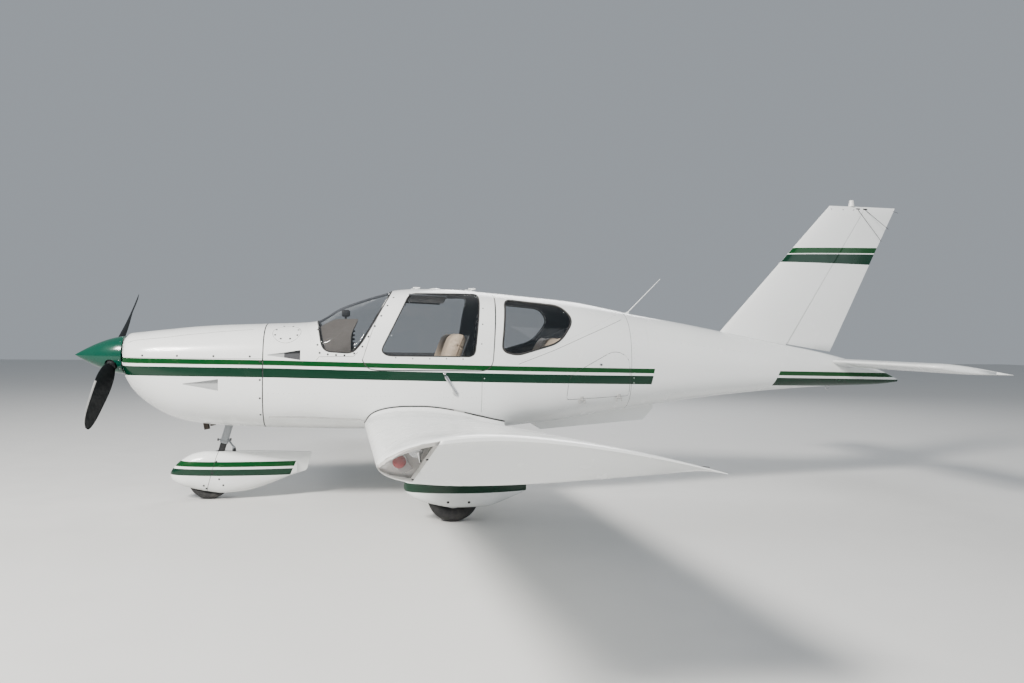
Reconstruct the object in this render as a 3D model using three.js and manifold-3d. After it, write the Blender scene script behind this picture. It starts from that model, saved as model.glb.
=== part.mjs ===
// A low-wing light aircraft that seats four or five, standing on its fixed tricycle gear.
// Millimetres, +Z up. X runs from the nose to the tail, Y to the starboard side.
// Lengthwise places are stations: distances aft of the spinner's tip. The whole aircraft is
// shifted at the end, so that the origin lies on the ground below its middle.

import * as THREE from 'three';
import { mergeVertices } from 'three/addons/utils/BufferGeometryUtils.js';
import Module from 'manifold-3d';

const wasm = await Module();
wasm.setup();

// Driving dimensions
const LENGTH = 7749;
const TOP_Z = 3000;
const JOIN = 0.3;
const SEAM = 7;

const FIREWALL = 1590;
const CONE_START = 4945;
const TUB_JOINT = 3395;
const AFT_JOINT = 4040;
const BELLY_END = 4400;
const FLOOR = 740;
const CABIN_WALL = 24;
const FIREWALL_DEPTH = 20;
const BULKHEAD_DEPTH = 30;
const COWL_WALL = 10;
const CONE_WALL = 8;
const COWL_SPLIT_Z = 1236;

const THRUST_Z = 1246;
const SPINNER_LENGTH = 404;
const SPINNER_RADIUS = 162;
const BLADE_STATION = 318;
const BLADE_RADIUS = 940;
const BLADE_SHANK = 40;
const BLADE_ANGLE = THREE.MathUtils.degToRad(55);

const WING_LEADING = 2420;
const WING_CHORD = 1220;
const WING_THICKNESS = 0.158;
const WING_CAMBER = 0.022;
const WING_INCIDENCE = THREE.MathUtils.degToRad(1.9);
const WING_ROOT_Z = 649;
const DIHEDRAL = THREE.MathUtils.degToRad(4.1);
const WING_HINGE = WING_LEADING + 930;
const FLAP_SPAN = [700, 3060];
const AILERON_SPAN = [3066, 4640];

const STAB_PIVOT = [7140, 1212];
const STAB_CHORD = 753;
const STAB_HALF_SPAN = 1600;
const STAB_ROOT = 142;
const STAB_INCIDENCE = THREE.MathUtils.degToRad(5.2);
const TAB_CHORD = 150;
const STAB_TUBE = 25;

const FIN_LOW = { z: 1300, leading: 5640, hinge: 6476, trailing: 6994 };
const FIN_HIGH = { z: 2780, leading: 6984, hinge: 7392, trailing: 7710 };

const MAIN_WHEEL = { station: 3098, y: 1165, radius: 203, width: 144, rim: 98 };
const NOSE_WHEEL = { station: 1104, y: 0, radius: 180, width: 125, rim: 82 };
const AXLE_RADIUS = 14.5;
const AXLE_BORE = 15.4;
const STRUT_TOP = [1279, 712];
const STRUT_END = [1196, 416];

const HINGE_Y = 130;
const HINGE_Z = 1866;

// Flat pads for a jack under each wing and for a rope under the tail: station, side, height
const JACK_PAD = [2950, 1900, 686];
const TAIL_PAD = [6850, 0, 958];

// Finishes: colour, roughness, metalness
const WHITE = [0xf2f3f1, 0.3, 0.0];
const GREEN = [0x0d5a3c, 0.3, 0.0];
const DARK = [0x24272a, 0.5, 0.2];
const STEEL = [0x8d9092, 0.45, 0.8];
const IRON = [0x55585a, 0.7, 0.6];
const RUBBER = [0x1d1d1e, 0.9, 0.0];
const GLASS = [0x3c4a50, 0.1, 0.0];
const CLOTH = [0xb49f83, 0.9, 0.0];
const TRIM = [0x54524e, 0.8, 0.0];
const LENS = [0xd8dde0, 0.1, 0.0];

// Solids and their joining and cutting

function solid(geometry) {
  const bare = geometry.clone();
  for (const name of Object.keys(bare.attributes)) {
    if (name !== 'position') bare.deleteAttribute(name);
  }
  const merged = mergeVertices(bare, 1e-3);
  const mesh = new wasm.Mesh({
    numProp: 3,
    vertProperties: new Float32Array(merged.attributes.position.array),
    triVerts: new Uint32Array(merged.index.array),
  });
  return new wasm.Manifold(mesh);
}

function surface(manifold) {
  const mesh = manifold.getMesh();
  const geometry = new THREE.BufferGeometry();
  const places = new THREE.BufferAttribute(new Float32Array(mesh.vertProperties), 3);
  geometry.setAttribute('position', places);
  geometry.setIndex(new THREE.BufferAttribute(new Uint32Array(mesh.triVerts), 1));
  return geometry;
}

function volume(positions, triangles) {
  let sum = 0;
  const a = new THREE.Vector3();
  const b = new THREE.Vector3();
  const c = new THREE.Vector3();
  for (let i = 0; i < triangles.length; i += 3) {
    a.fromArray(positions, 3 * triangles[i]);
    b.fromArray(positions, 3 * triangles[i + 1]);
    c.fromArray(positions, 3 * triangles[i + 2]);
    sum += a.dot(b.cross(c)) / 6;
  }
  return sum;
}

// A closed skin through rings of equal point counts, with flat ends.
function loft(rings) {
  const count = rings[0].length;
  const positions = [];
  const triangles = [];
  for (const ring of rings) {
    for (const point of ring) positions.push(point.x, point.y, point.z);
  }
  for (let r = 0; r + 1 < rings.length; r += 1) {
    for (let i = 0; i < count; i += 1) {
      const a = r * count + i;
      const b = r * count + ((i + 1) % count);
      triangles.push(a, b, b + count, a, b + count, a + count);
    }
  }
  const last = (rings.length - 1) * count;
  for (const [a, b, c] of endFaces(rings[0])) triangles.push(a, c, b);
  for (const [a, b, c] of endFaces(rings[rings.length - 1])) {
    triangles.push(last + a, last + b, last + c);
  }
  if (volume(positions, triangles) < 0) triangles.reverse();
  const geometry = new THREE.BufferGeometry();
  geometry.setAttribute('position', new THREE.Float32BufferAttribute(positions, 3));
  geometry.setIndex(triangles);
  return solid(geometry);
}

// Triangles over a flat ring, wound the way that the ring runs.
function endFaces(ring) {
  const normal = new THREE.Vector3();
  for (let i = 0; i < ring.length; i += 1) {
    const next = ring[(i + 1) % ring.length];
    normal.add(ring[i].clone().cross(next));
  }
  const big = [Math.abs(normal.x), Math.abs(normal.y), Math.abs(normal.z)];
  const drop = big.indexOf(Math.max(...big));
  const [u, v] = [['y', 'z'], ['z', 'x'], ['x', 'y']][drop];
  const flat = ring.map((point) => new THREE.Vector2(point[u], point[v]));
  const faces = THREE.ShapeUtils.triangulateShape(flat, []);
  const runsLeft = !THREE.ShapeUtils.isClockWise(flat);
  return faces.map(([a, b, c]) => {
    const [pa, pb, pc] = [flat[a], flat[b], flat[c]];
    const turn = (pb.x - pa.x) * (pc.y - pa.y) - (pb.y - pa.y) * (pc.x - pa.x);
    return (turn > 0) === runsLeft ? [a, b, c] : [a, c, b];
  });
}

function box([x0, x1], [y0, y1], [z0, z1]) {
  const geometry = new THREE.BoxGeometry(x1 - x0, y1 - y0, z1 - z0);
  geometry.translate((x0 + x1) / 2, (y0 + y1) / 2, (z0 + z1) / 2);
  return solid(geometry);
}

// A round bar between two points, tapered where a second radius is given.
function bar(from, to, radius, endRadius = radius, sides = 12) {
  const start = new THREE.Vector3(...from);
  const end = new THREE.Vector3(...to);
  const run = end.clone().sub(start);
  const geometry = new THREE.CylinderGeometry(endRadius, radius, run.length(), sides);
  const turn = new THREE.Quaternion();
  turn.setFromUnitVectors(new THREE.Vector3(0, 1, 0), run.clone().normalize());
  geometry.applyQuaternion(turn);
  const middle = start.add(end).multiplyScalar(0.5);
  geometry.translate(middle.x, middle.y, middle.z);
  return solid(geometry);
}

// An outline of [x, z] corners run along Y.
function prism(outline, [y0, y1]) {
  const near = outline.map(([x, z]) => new THREE.Vector3(x, y0, z));
  const far = outline.map(([x, z]) => new THREE.Vector3(x, y1, z));
  return loft([near, far]);
}

// A ring of [radius, offset] points turned about the Y line through a centre.
function wheelRing(profile, [x, y, z], sides) {
  const points = profile.map(([radius, offset]) => new THREE.Vector2(radius, offset));
  const closed = [...points, points[0].clone()];
  const geometry = new THREE.LatheGeometry(closed, sides);
  geometry.translate(x, y, z);
  return solid(geometry);
}

// Corners are [x, z, radius]; each becomes a short curve of that reach.
function rounded(corners, steps = 3) {
  const points = [];
  corners.forEach(([x, z, reach], i) => {
    const corner = new THREE.Vector2(x, z);
    const before = corners[(i + corners.length - 1) % corners.length];
    const after = corners[(i + 1) % corners.length];
    const start = new THREE.Vector2(before[0], before[1]).sub(corner);
    const end = new THREE.Vector2(after[0], after[1]).sub(corner);
    start.setLength(Math.min(reach, 0.45 * start.length()));
    end.setLength(Math.min(reach, 0.45 * end.length()));
    const curve = new THREE.QuadraticBezierCurve(start.add(corner), corner, end.add(corner));
    for (const point of curve.getPoints(steps)) points.push([point.x, point.y]);
  });
  return points;
}

// The outline moved inwards by a distance, or outwards where it is negative.
function inset(outline, distance) {
  const area = outline.reduce((sum, [x, z], i) => {
    const [nx, nz] = outline[(i + 1) % outline.length];
    return sum + x * nz - nx * z;
  }, 0);
  const side = area > 0 ? 1 : -1;
  return outline.map(([x, z], i) => {
    const [px, pz] = outline[(i + outline.length - 1) % outline.length];
    const [nx, nz] = outline[(i + 1) % outline.length];
    const along = new THREE.Vector2(x - px, z - pz).normalize();
    const onward = new THREE.Vector2(nx - x, nz - z).normalize();
    const across = new THREE.Vector2(-along.y - onward.y, along.x + onward.x).normalize();
    const spread = Math.max(0.5, across.dot(new THREE.Vector2(-along.y, along.x)));
    const shift = side * distance / spread;
    return [x + across.x * shift, z + across.y * shift];
  });
}

// The hull

// Columns: station, top, bottom, half width, height of the widest line, power of the upper
// curve, power of the lower curve
const HULL = [
  [428, 1405, 1086, 208, 1240, 2.4, 2.4],
  [446, 1430, 1058, 280, 1236, 2.4, 2.4],
  [476, 1436, 1006, 345, 1228, 2.5, 2.5],
  [534, 1443, 922, 396, 1215, 2.6, 2.6],
  [668, 1459, 806, 440, 1195, 2.6, 2.6],
  [819, 1477, 724, 466, 1180, 2.7, 2.7],
  [1000, 1497, 674, 490, 1165, 2.7, 2.8],
  [1240, 1514, 650, 514, 1150, 2.8, 3.0],
  [1560, 1528, 634, 544, 1140, 2.9, 3.2],
  [1900, 1543, 627, 574, 1120, 2.9, 3.5],
  [1985, 1552, 625, 582, 1115, 2.9, 3.5],
  [2209, 1678, 621, 603, 1105, 2.9, 3.6],
  [2400, 1752, 620, 617, 1100, 3.0, 3.7],
  [2560, 1804, 620, 627, 1100, 3.1, 3.8],
  [2700, 1842, 620, 634, 1100, 3.3, 3.8],
  [2900, 1855, 620, 640, 1100, 3.5, 3.8],
  [3150, 1857, 620, 645, 1100, 3.5, 3.8],
  [3500, 1834, 624, 645, 1105, 3.4, 3.8],
  [3900, 1803, 655, 625, 1110, 3.2, 3.6],
  [4280, 1771, 695, 580, 1120, 3.0, 3.3],
  [4620, 1716, 742, 520, 1130, 2.8, 3.0],
  [4945, 1656, 787, 458, 1140, 2.6, 2.8],
  [5400, 1584, 848, 382, 1145, 2.5, 2.6],
  [5900, 1496, 903, 304, 1145, 2.4, 2.5],
  [6400, 1405, 946, 232, 1140, 2.4, 2.4],
  [6900, 1314, 976, 150, 1130, 2.3, 2.4],
  [7150, 1256, 984, 116, 1110, 2.3, 2.4],
  [7400, 1186, 990, 84, 1080, 2.3, 2.4],
  [7600, 1122, 1002, 56, 1060, 2.2, 2.2],
  [7749, 1052, 1020, 24, 1036, 2.0, 2.0],
];

function hullAt(station) {
  let row = 1;
  while (row < HULL.length - 1 && HULL[row][0] < station) row += 1;
  const low = HULL[row - 1];
  const high = HULL[row];
  const t = THREE.MathUtils.clamp((station - low[0]) / (high[0] - low[0]), 0, 1);
  const [, top, bottom, half, widest, upper, lower] = low.map((v, i) => v + t * (high[i] - v));
  return { top, bottom, half, widest, upper, lower };
}

// Half the hull's width at a height.
function hullHalf(station, z) {
  const { top, bottom, half, widest, upper, lower } = hullAt(station);
  const share = z > widest ? (z - widest) / (top - widest) : (widest - z) / (widest - bottom);
  const power = z > widest ? upper : lower;
  return half * Math.pow(Math.max(0, 1 - Math.pow(Math.min(1, share), power)), 1 / power);
}

// Height of the hull's upper skin at a distance from the middle.
function hullTop(station, y) {
  const { top, half, widest, upper } = hullAt(station);
  const rise = Math.pow(1 - Math.pow(Math.abs(y) / half, upper), 1 / upper);
  return widest + (top - widest) * rise;
}

const HULL_SIDES = 24;

function hullRing(station, wall) {
  const { top, bottom, half, widest, upper, lower } = hullAt(station);
  const points = [];
  for (let i = 0; i < HULL_SIDES; i += 1) {
    const angle = (2 * Math.PI * i) / HULL_SIDES;
    const [c, s] = [Math.cos(angle), Math.sin(angle)];
    const power = s > 0 ? upper : lower;
    const reach = (s > 0 ? top - widest : widest - bottom) - wall;
    const y = (half - wall) * Math.sign(c) * Math.pow(Math.abs(c), 2 / power);
    const z = widest + reach * Math.sign(s) * Math.pow(Math.abs(s), 2 / power);
    points.push(new THREE.Vector3(station, y, z));
  }
  return points;
}

// The hull's outer form between two stations, drawn in by a wall thickness.
function hull([from, to], wall = 0) {
  const between = HULL.map((row) => row[0]).filter((s) => s > from + 1 && s < to - 1);
  return loft([from, ...between, to].map((station) => hullRing(station, wall)));
}

// Cabin openings, as they show from the side: [station, height, reach of the rounded corner]
const WINDSCREEN = [
  [1968, 1640, 10], [2020, 1520, 40], [2128, 1308, 45], [2300, 1286, 45], [2382, 1374, 45],
  [2668, 1900, 10],
];
const REAR_WINDOW = [
  [3612, 1760, 60], [3566, 1312, 60], [3700, 1278, 60], [4080, 1390, 90], [4222, 1588, 90],
  [4120, 1716, 80],
];
const DOOR_WINDOW = [
  [2790, 1800, 60], [2546, 1308, 50], [2600, 1266, 50], [3332, 1264, 60], [3388, 1768, 60],
  [3370, 1806, 30],
];
const DOOR_EDGE = [
  [2393, 1240], [2440, 1165], [2490, 1150], [3430, 1148], [3482, 1190], [3524, 1783],
];
const BAGGAGE_DOOR = [
  [4152, 894, 30], [4166, 1100, 60], [4600, 1326, 60], [4742, 1262, 60], [4751, 920, 30],
];
const CABIN_SPLIT = [
  [1925, 2000], [1925, 1505], [2080, 1235], [2350, 1100], [3610, 1100], [3730, 1225],
  [4700, 1660], [4700, 2000],
];

// The region that a cabin door fills, bounded by arcs about its hinge line, so that the door
// swings out with an even gap.
function doorRegion(side, grow, inboard) {
  const reach = (x, z) => Math.hypot(hullHalf(x, z) - HINGE_Y, HINGE_Z - z);
  const corners = DOOR_EDGE.map(([x, z]) => [x, reach(x, z)]);
  const ring = inset([[2714, 8], ...corners, [3526, 8]], -grow);
  const rings = [];
  for (let degrees = -20; degrees <= 100; degrees += 6) {
    const angle = THREE.MathUtils.degToRad(degrees);
    rings.push(ring.map(([x, radius]) => new THREE.Vector3(
      x,
      side * (HINGE_Y + Math.max(radius, 1) * Math.cos(angle)),
      HINGE_Z - Math.max(radius, 1) * Math.sin(angle),
    )));
  }
  const outboard = [HINGE_Y + inboard, 900].map((y) => side * y).sort((a, b) => a - b);
  return loft(rings).intersect(box([0, LENGTH], outboard, [0, TOP_Z]));
}

const ALL = [-2000, 2000];
const ports = { left: -1, right: 1 };

function sideRange(side, near, far) {
  return side > 0 ? [near, far] : [-far, -near];
}

// The stretch of Y that the side windows are cut through
function windowRange(side) {
  return sideRange(side, 200, 900);
}

const cabinEnds = [FIREWALL + FIREWALL_DEPTH, CONE_START - BULKHEAD_DEPTH];
const cabinSpace = hull(cabinEnds, CABIN_WALL)
  .intersect(box([0, LENGTH], ALL, [FLOOR, TOP_Z]));
const cabinBody = hull([FIREWALL, CONE_START - JOIN]).subtract(cabinSpace);
const windscreenRegion = prism(rounded(WINDSCREEN), ALL);
const POST_HALF = 16;
const centrePost = box([0, LENGTH], [-POST_HALF, POST_HALF], [0, TOP_Z]);

// A strap hinge: a knuckle that moves with the panel, between two that stay with the frame.
// origin is the middle of its pin; out points along the panel away from the pin; inward is
// the way into the panel's thickness.
function strapHinge(origin, along, out, inward, depth) {
  const KNUCKLE = 7;
  const HALF = 16;
  const at = (a, o, i) => origin.clone().addScaledVector(along, a)
    .addScaledVector(out, o).addScaledVector(inward, i);
  const block = (a0, a1, o0, o1, i0, i1) => loft([a0, a1].map((a) => [
    at(a, o0, i0), at(a, o1, i0), at(a, o1, i1), at(a, o0, i1),
  ]));
  const pin = (a0, a1) => bar(
    at(a0, 0, 0).toArray(), at(a1, 0, 0).toArray(), KNUCKLE, KNUCKLE, 8);
  const leaf = (a0, a1, way) => pin(a0, a1)
    .add(block(a0, a1, way * 1, way * 32, -4, 4))
    .add(block(a0, a1, way * 14, way * 32, -4, depth));
  return {
    moving: leaf(-HALF, HALF, 1),
    fixed: leaf(-2 * HALF, -HALF - JOIN, -1).add(leaf(HALF + JOIN, 2 * HALF, -1)),
  };
}

const meshes = [];

function mesh(name, manifold, [colour, roughness, metalness], opacity = 1) {
  const material = new THREE.MeshStandardMaterial({ color: colour, roughness, metalness });
  material.transparent = opacity < 1;
  material.opacity = opacity;
  const piece = new THREE.Mesh(surface(manifold), material);
  piece.name = name;
  meshes.push(piece);
}

// Cabin, doors and windows

function doorHinges(side) {
  const along = new THREE.Vector3(1, 0, 0);
  const out = new THREE.Vector3(0, side, 0);
  const down = new THREE.Vector3(0, 0, -1);
  return [2870, 3370].map((station) => {
    const origin = new THREE.Vector3(station, side * HINGE_Y, HINGE_Z);
    return strapHinge(origin, along, out, down, 40);
  });
}

function pane(outline, range, from, to) {
  const OUTER = 4;
  const INNER = 10;
  const sheet = hull([from, to], OUTER).subtract(hull([from - 1, to + 1], INNER));
  return sheet.intersect(prism(inset(outline, JOIN), range));
}

function makeCabin() {
  const split = prism(CABIN_SPLIT, ALL);
  const above = prism(inset(CABIN_SPLIT, JOIN), ALL);
  let roof = cabinBody.intersect(above);
  let tub = cabinBody.subtract(split);
  roof = roof.subtract(windscreenRegion.subtract(centrePost));
  for (const [name, side] of Object.entries(ports)) {
    const rear = rounded(REAR_WINDOW);
    roof = roof.subtract(prism(rear, windowRange(side)));
    mesh(`rear_window_${name}`, pane(rear, windowRange(side), 3500, 4300), GLASS, 0.45);

    const hinges = doorHinges(side);
    roof = roof.subtract(doorRegion(side, SEAM, 0));
    const window = rounded(DOOR_WINDOW);
    let door = cabinBody.intersect(doorRegion(side, 0, SEAM));
    door = door.subtract(prism(window, windowRange(side)));
    for (const { moving, fixed } of hinges) {
      door = door.add(moving);
      roof = roof.add(fixed);
    }
    mesh(`cabin_door_${name}`, door, WHITE);
    mesh(`door_window_${name}`, pane(window, windowRange(side), 2450, 3480), GLASS, 0.45);

    const screen = pane(rounded(WINDSCREEN), sideRange(side, POST_HALF + JOIN, 900), 1900, 2750);
    mesh(`windscreen_${name}`, screen, GLASS, 0.45);
  }
  mesh('cabin_roof', roof, WHITE);
  return tub;
}

// The baggage door lies along the port side, which narrows towards the tail.
const BAGGAGE_LINE = [new THREE.Vector3(4150, 0, 881), new THREE.Vector3(4750, 0, 907)];
for (const point of BAGGAGE_LINE) point.y = -hullHalf(point.x, point.z + 12) - 10;

function baggageRegion(grow) {
  const [start, end] = BAGGAGE_LINE;
  const slant = (end.y - start.y) / (end.x - start.x);
  const outline = inset(rounded(BAGGAGE_DOOR), -grow);
  const ringAt = (across) => outline.map(([x, z]) => new THREE.Vector3(
    x - slant * across,
    start.y + slant * (x - start.x) + across,
    z,
  ));
  return loft([ringAt(-120), ringAt(200)]);
}

function makeTub(tub) {
  let body = tub.subtract(baggageRegion(SEAM));
  let door = cabinBody.intersect(baggageRegion(0));
  const [start, end] = BAGGAGE_LINE;
  const along = end.clone().sub(start).normalize();
  const inward = new THREE.Vector3(-along.y, along.x, 0).normalize();
  const up = new THREE.Vector3().crossVectors(along, inward);
  for (const share of [0.24, 0.84]) {
    const origin = start.clone().lerp(end, share);
    const { moving, fixed } = strapHinge(origin, along, up, inward, 26);
    door = door.add(moving);
    body = body.add(fixed);
  }
  mesh('baggage_door', door, WHITE);
  const belly = box([0, BELLY_END], ALL, [0, FLOOR - JOIN]);
  mesh('fuselage_belly', body.intersect(belly), WHITE);
  const walls = body.subtract(box([0, BELLY_END + JOIN], ALL, [0, FLOOR]));
  mesh('fuselage_tub', walls.intersect(box([0, TUB_JOINT - JOIN], ALL, [0, TOP_Z])), WHITE);
  for (const [name, side] of Object.entries(ports)) {
    const flank = box([TUB_JOINT, AFT_JOINT - JOIN], sideRange(side, 0, 900), [0, TOP_Z]);
    mesh(`fuselage_side_${name}`, walls.intersect(flank), WHITE);
  }
  mesh('fuselage_aft', walls.intersect(box([AFT_JOINT, LENGTH], ALL, [0, TOP_Z])), WHITE);
}

function makeSeats() {
  const FRONT_SEAT = [
    [2690, FLOOR + JOIN], [3090, FLOOR + JOIN], [3130, 960], [3318, 1440], [3290, 1478],
    [3225, 1478], [3030, 1080], [2680, 1060], [2660, 960],
  ];
  const REAR_SEAT = [
    [3560, FLOOR + JOIN], [4000, FLOOR + JOIN], [4060, 960], [4222, 1400], [4190, 1452],
    [4120, 1452], [3940, 1080], [3550, 1060], [3530, 960],
  ];
  const FRONT_SEAT_SIDES = [45, 505];
  const BENCH_HALF = 500;
  const LINING = CABIN_WALL + 5;
  for (const [name, side] of Object.entries(ports)) {
    const sides = sideRange(side, ...FRONT_SEAT_SIDES);
    mesh(`front_seat_${name}`, prism(FRONT_SEAT, sides), CLOTH);
  }
  const bench = prism(REAR_SEAT, [-BENCH_HALF, BENCH_HALF])
    .intersect(hull([3400, 4400], LINING));
  mesh('rear_bench', bench, CLOTH);
  const PANEL = [
    [1975, 1440], [2060, 1520], [2165, 1572], [2362, 1574], [2300, 1440], [2300, 1290],
    [2240, 1100], [2060, 1060], [1960, 1300],
  ];
  const PANEL_HALF = 560;
  const panel = prism(PANEL, [-PANEL_HALF, PANEL_HALF])
    .intersect(hull([1600, 2500], CABIN_WALL + JOIN));
  mesh('instrument_panel', panel, TRIM);
}

// Cowling and engine

function makeCowl() {
  const FRONT = HULL[0][0];
  const SHAFT_HOLE = 62;
  const OUTLET_HALF = 120;
  const OUTLET_TOP = 760;
  const PIPE_HOLE = 30;
  const space = hull([FRONT + 20, FIREWALL + 1], COWL_WALL);
  let cowl = hull([FRONT, FIREWALL - JOIN]).subtract(space);
  cowl = cowl.subtract(bar([FRONT - 10, 0, THRUST_Z], [FRONT + 60, 0, THRUST_Z], SHAFT_HOLE));
  for (const side of Object.values(ports)) {
    cowl = cowl.subtract(inlet(side));
  }
  let lower = cowl.intersect(box([0, LENGTH], ALL, [0, COWL_SPLIT_Z - JOIN]));
  const outlet = box([1215, FIREWALL + 10], [-OUTLET_HALF, OUTLET_HALF], [0, OUTLET_TOP]);
  lower = lower.subtract(outlet);
  for (const side of Object.values(ports)) {
    lower = lower.subtract(exhaustPipe(side, PIPE_HOLE));
  }
  mesh('cowl_upper', cowl.intersect(box([0, LENGTH], ALL, [COWL_SPLIT_Z, TOP_Z])), WHITE);
  mesh('cowl_lower', lower, WHITE);
}

// An oval air inlet beside the spinner, a little wider at its mouth
function inlet(side) {
  const CENTRE = { y: 248, z: 1232 };
  const HALF = { y: 58, z: 62 };
  const SIDES = 16;
  const ringAt = (x, grow) => {
    const points = [];
    for (let i = 0; i < SIDES; i += 1) {
      const angle = (2 * Math.PI * i) / SIDES;
      const y = side * CENTRE.y + (HALF.y + grow) * Math.cos(angle);
      points.push(new THREE.Vector3(x, y, CENTRE.z + (HALF.z + grow) * Math.sin(angle)));
    }
    return points;
  };
  return loft([ringAt(330, 4), ringAt(560, 0)]);
}

const EXHAUST = { station: 1040, y: 150, top: 952, end: 620 };

function exhaustPipe(side, radius) {
  const { station, y, top, end } = EXHAUST;
  return bar([station, side * y, top], [station + 60, side * y, end], radius);
}

function makeEngine() {
  const BLOCK = { front: 670, rear: 1330, half: 330, bottom: 970, top: 1300 };
  const SHAFT_RADIUS = 52;
  const STRUT_RADIUS = 16;
  const STRUT_Y = 240;
  const PIPE_RADIUS = 25;
  const CROSS_RADIUS = 22;
  const CROSS_Z = 900;
  const shaft = [SPINNER_LENGTH + JOIN, 0, THRUST_Z];
  let engine = box([BLOCK.front, BLOCK.rear], [-BLOCK.half, BLOCK.half], [BLOCK.bottom, BLOCK.top])
    .add(bar(shaft, [BLOCK.front + 30, 0, THRUST_Z], SHAFT_RADIUS));
  for (const side of Object.values(ports)) {
    for (const z of [BLOCK.bottom + 40, BLOCK.top - 40]) {
      const front = [BLOCK.rear - 30, side * STRUT_Y, z];
      engine = engine.add(bar(front, [FIREWALL - JOIN, side * STRUT_Y, z], STRUT_RADIUS));
    }
  }
  mesh('engine_block', engine, IRON);
  const middle = EXHAUST.station + 10;
  const cross = bar([middle, -165, CROSS_Z], [middle, 165, CROSS_Z], CROSS_RADIUS);
  const under = [0, BLOCK.bottom - JOIN];
  const pipes = exhaustPipe(1, PIPE_RADIUS).add(exhaustPipe(-1, PIPE_RADIUS)).add(cross)
    .intersect(box([0, LENGTH], ALL, under));
  const riser = box([middle - 30, middle + 30], [-60, 60], [CROSS_Z - 20, under[1]]);
  mesh('exhaust_pipes', pipes.add(riser), IRON);
}

// Propeller

function makePropeller() {
  const profile = [new THREE.Vector2(0, 0)];
  for (let i = 1; i <= 10; i += 1) {
    const share = i / 10;
    profile.push(new THREE.Vector2(
      SPINNER_RADIUS * (1 - Math.pow(1 - share, 1.6)),
      SPINNER_LENGTH * share,
    ));
  }
  profile.push(new THREE.Vector2(0, SPINNER_LENGTH));
  const cone = new THREE.LatheGeometry(profile, 20);
  cone.rotateZ(-Math.PI / 2);
  cone.translate(0, 0, THRUST_Z);
  let spinner = solid(cone);
  const axis = new THREE.Vector3(0, -Math.sin(BLADE_ANGLE), -Math.cos(BLADE_ANGLE));
  const hub = new THREE.Vector3(BLADE_STATION, 0, THRUST_Z);
  const shaft = (reach, radius) => bar(
    hub.clone().addScaledVector(axis, -reach).toArray(),
    hub.clone().addScaledVector(axis, reach).toArray(),
    radius,
    radius,
    20,
  );
  // Columns: distance from the hub, chord, thickness, pitch in degrees
  const BLADE = [
    [150, 82, 58, 52], [250, 128, 34, 44], [400, 158, 24, 35], [600, 160, 17, 26],
    [780, 140, 12, 21], [890, 104, 9, 18], [930, 62, 6, 17], [BLADE_RADIUS, 22, 4, 17],
  ];
  let blades = shaft(170, BLADE_SHANK);
  for (const way of [1, -1]) {
    const out = axis.clone().multiplyScalar(way);
    const across = new THREE.Vector3(1, 0, 0).cross(out);
    blades = blades.add(loft(BLADE.map(([reach, chord, thickness, pitch]) => {
      const turn = THREE.MathUtils.degToRad(pitch);
      const ring = [];
      for (let i = 0; i < 12; i += 1) {
        const angle = (2 * Math.PI * i) / 12;
        const u = (chord / 2) * Math.cos(angle);
        const v = (thickness / 2) * Math.sin(angle);
        const x = BLADE_STATION + u * Math.sin(turn) + v * Math.cos(turn);
        const side = u * Math.cos(turn) - v * Math.sin(turn);
        const point = new THREE.Vector3(x, 0, THRUST_Z);
        ring.push(point.addScaledVector(out, reach).addScaledVector(across, side));
      }
      return ring;
    })));
  }
  spinner = spinner.subtract(shaft(400, BLADE_SHANK + JOIN)).subtract(blades);
  mesh('spinner', spinner.decompose().sort((a, b) => b.volume() - a.volume())[0], GREEN);
  mesh('propeller_blades', blades, DARK);
}

// Wings with their flaps and ailerons

const AEROFOIL_STEPS = 9;

// Points [share of chord, height] round an aerofoil, from the trailing edge over the top.
function aerofoil(chord, thickness, camber) {
  const half = (x) => 5 * thickness * (0.2969 * Math.sqrt(x) - 0.126 * x
    - 0.3516 * x ** 2 + 0.2843 * x ** 3 - 0.1015 * x ** 4);
  const line = (x) => (x < 0.4 ? (camber / 0.16) * (0.8 * x - x * x)
    : (camber / 0.36) * (0.2 + 0.8 * x - x * x));
  const top = [];
  const under = [];
  for (let i = 0; i <= AEROFOIL_STEPS; i += 1) {
    const x = (1 + Math.cos((Math.PI * i) / AEROFOIL_STEPS)) / 2;
    top.push([x * chord, (line(x) + half(x)) * chord]);
    under.push([x * chord, (line(x) - half(x)) * chord]);
  }
  under.reverse();
  return { top, under: under.slice(1) };
}

// Columns: distance out, aft shift of the front edge, fullness of the top, share of the depth
// that is left below it
const WING_STATIONS = [
  [300, 0, 1, 1], [4700, 0, 1, 1], [4800, 10, 0.985, 0.5], [4862, 40, 0.92, 0.14],
  [4886, 90, 0.84, 0.05],
];

function wingBlank(side) {
  const { top, under } = aerofoil(WING_CHORD, WING_THICKNESS, WING_CAMBER);
  const rings = WING_STATIONS.map(([out, shift, full, share]) => {
    const heights = new Map(top.map(([x, z]) => [Math.round(x), z]));
    const squeeze = (WING_CHORD - shift) / WING_CHORD;
    const place = (x, z) => new THREE.Vector3(
      WING_LEADING + shift + x * squeeze,
      side * out,
      z - x * Math.tan(WING_INCIDENCE),
    );
    const upper = top.map(([x, z]) => place(x, z * full));
    const lower = under.map(([x, z]) => {
      const above = (heights.get(Math.round(x)) ?? 0) * full;
      return place(x, above - (above - z) * share - (1 - share) * 3);
    });
    return [...upper, ...lower];
  });
  return loft(rings);
}

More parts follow.
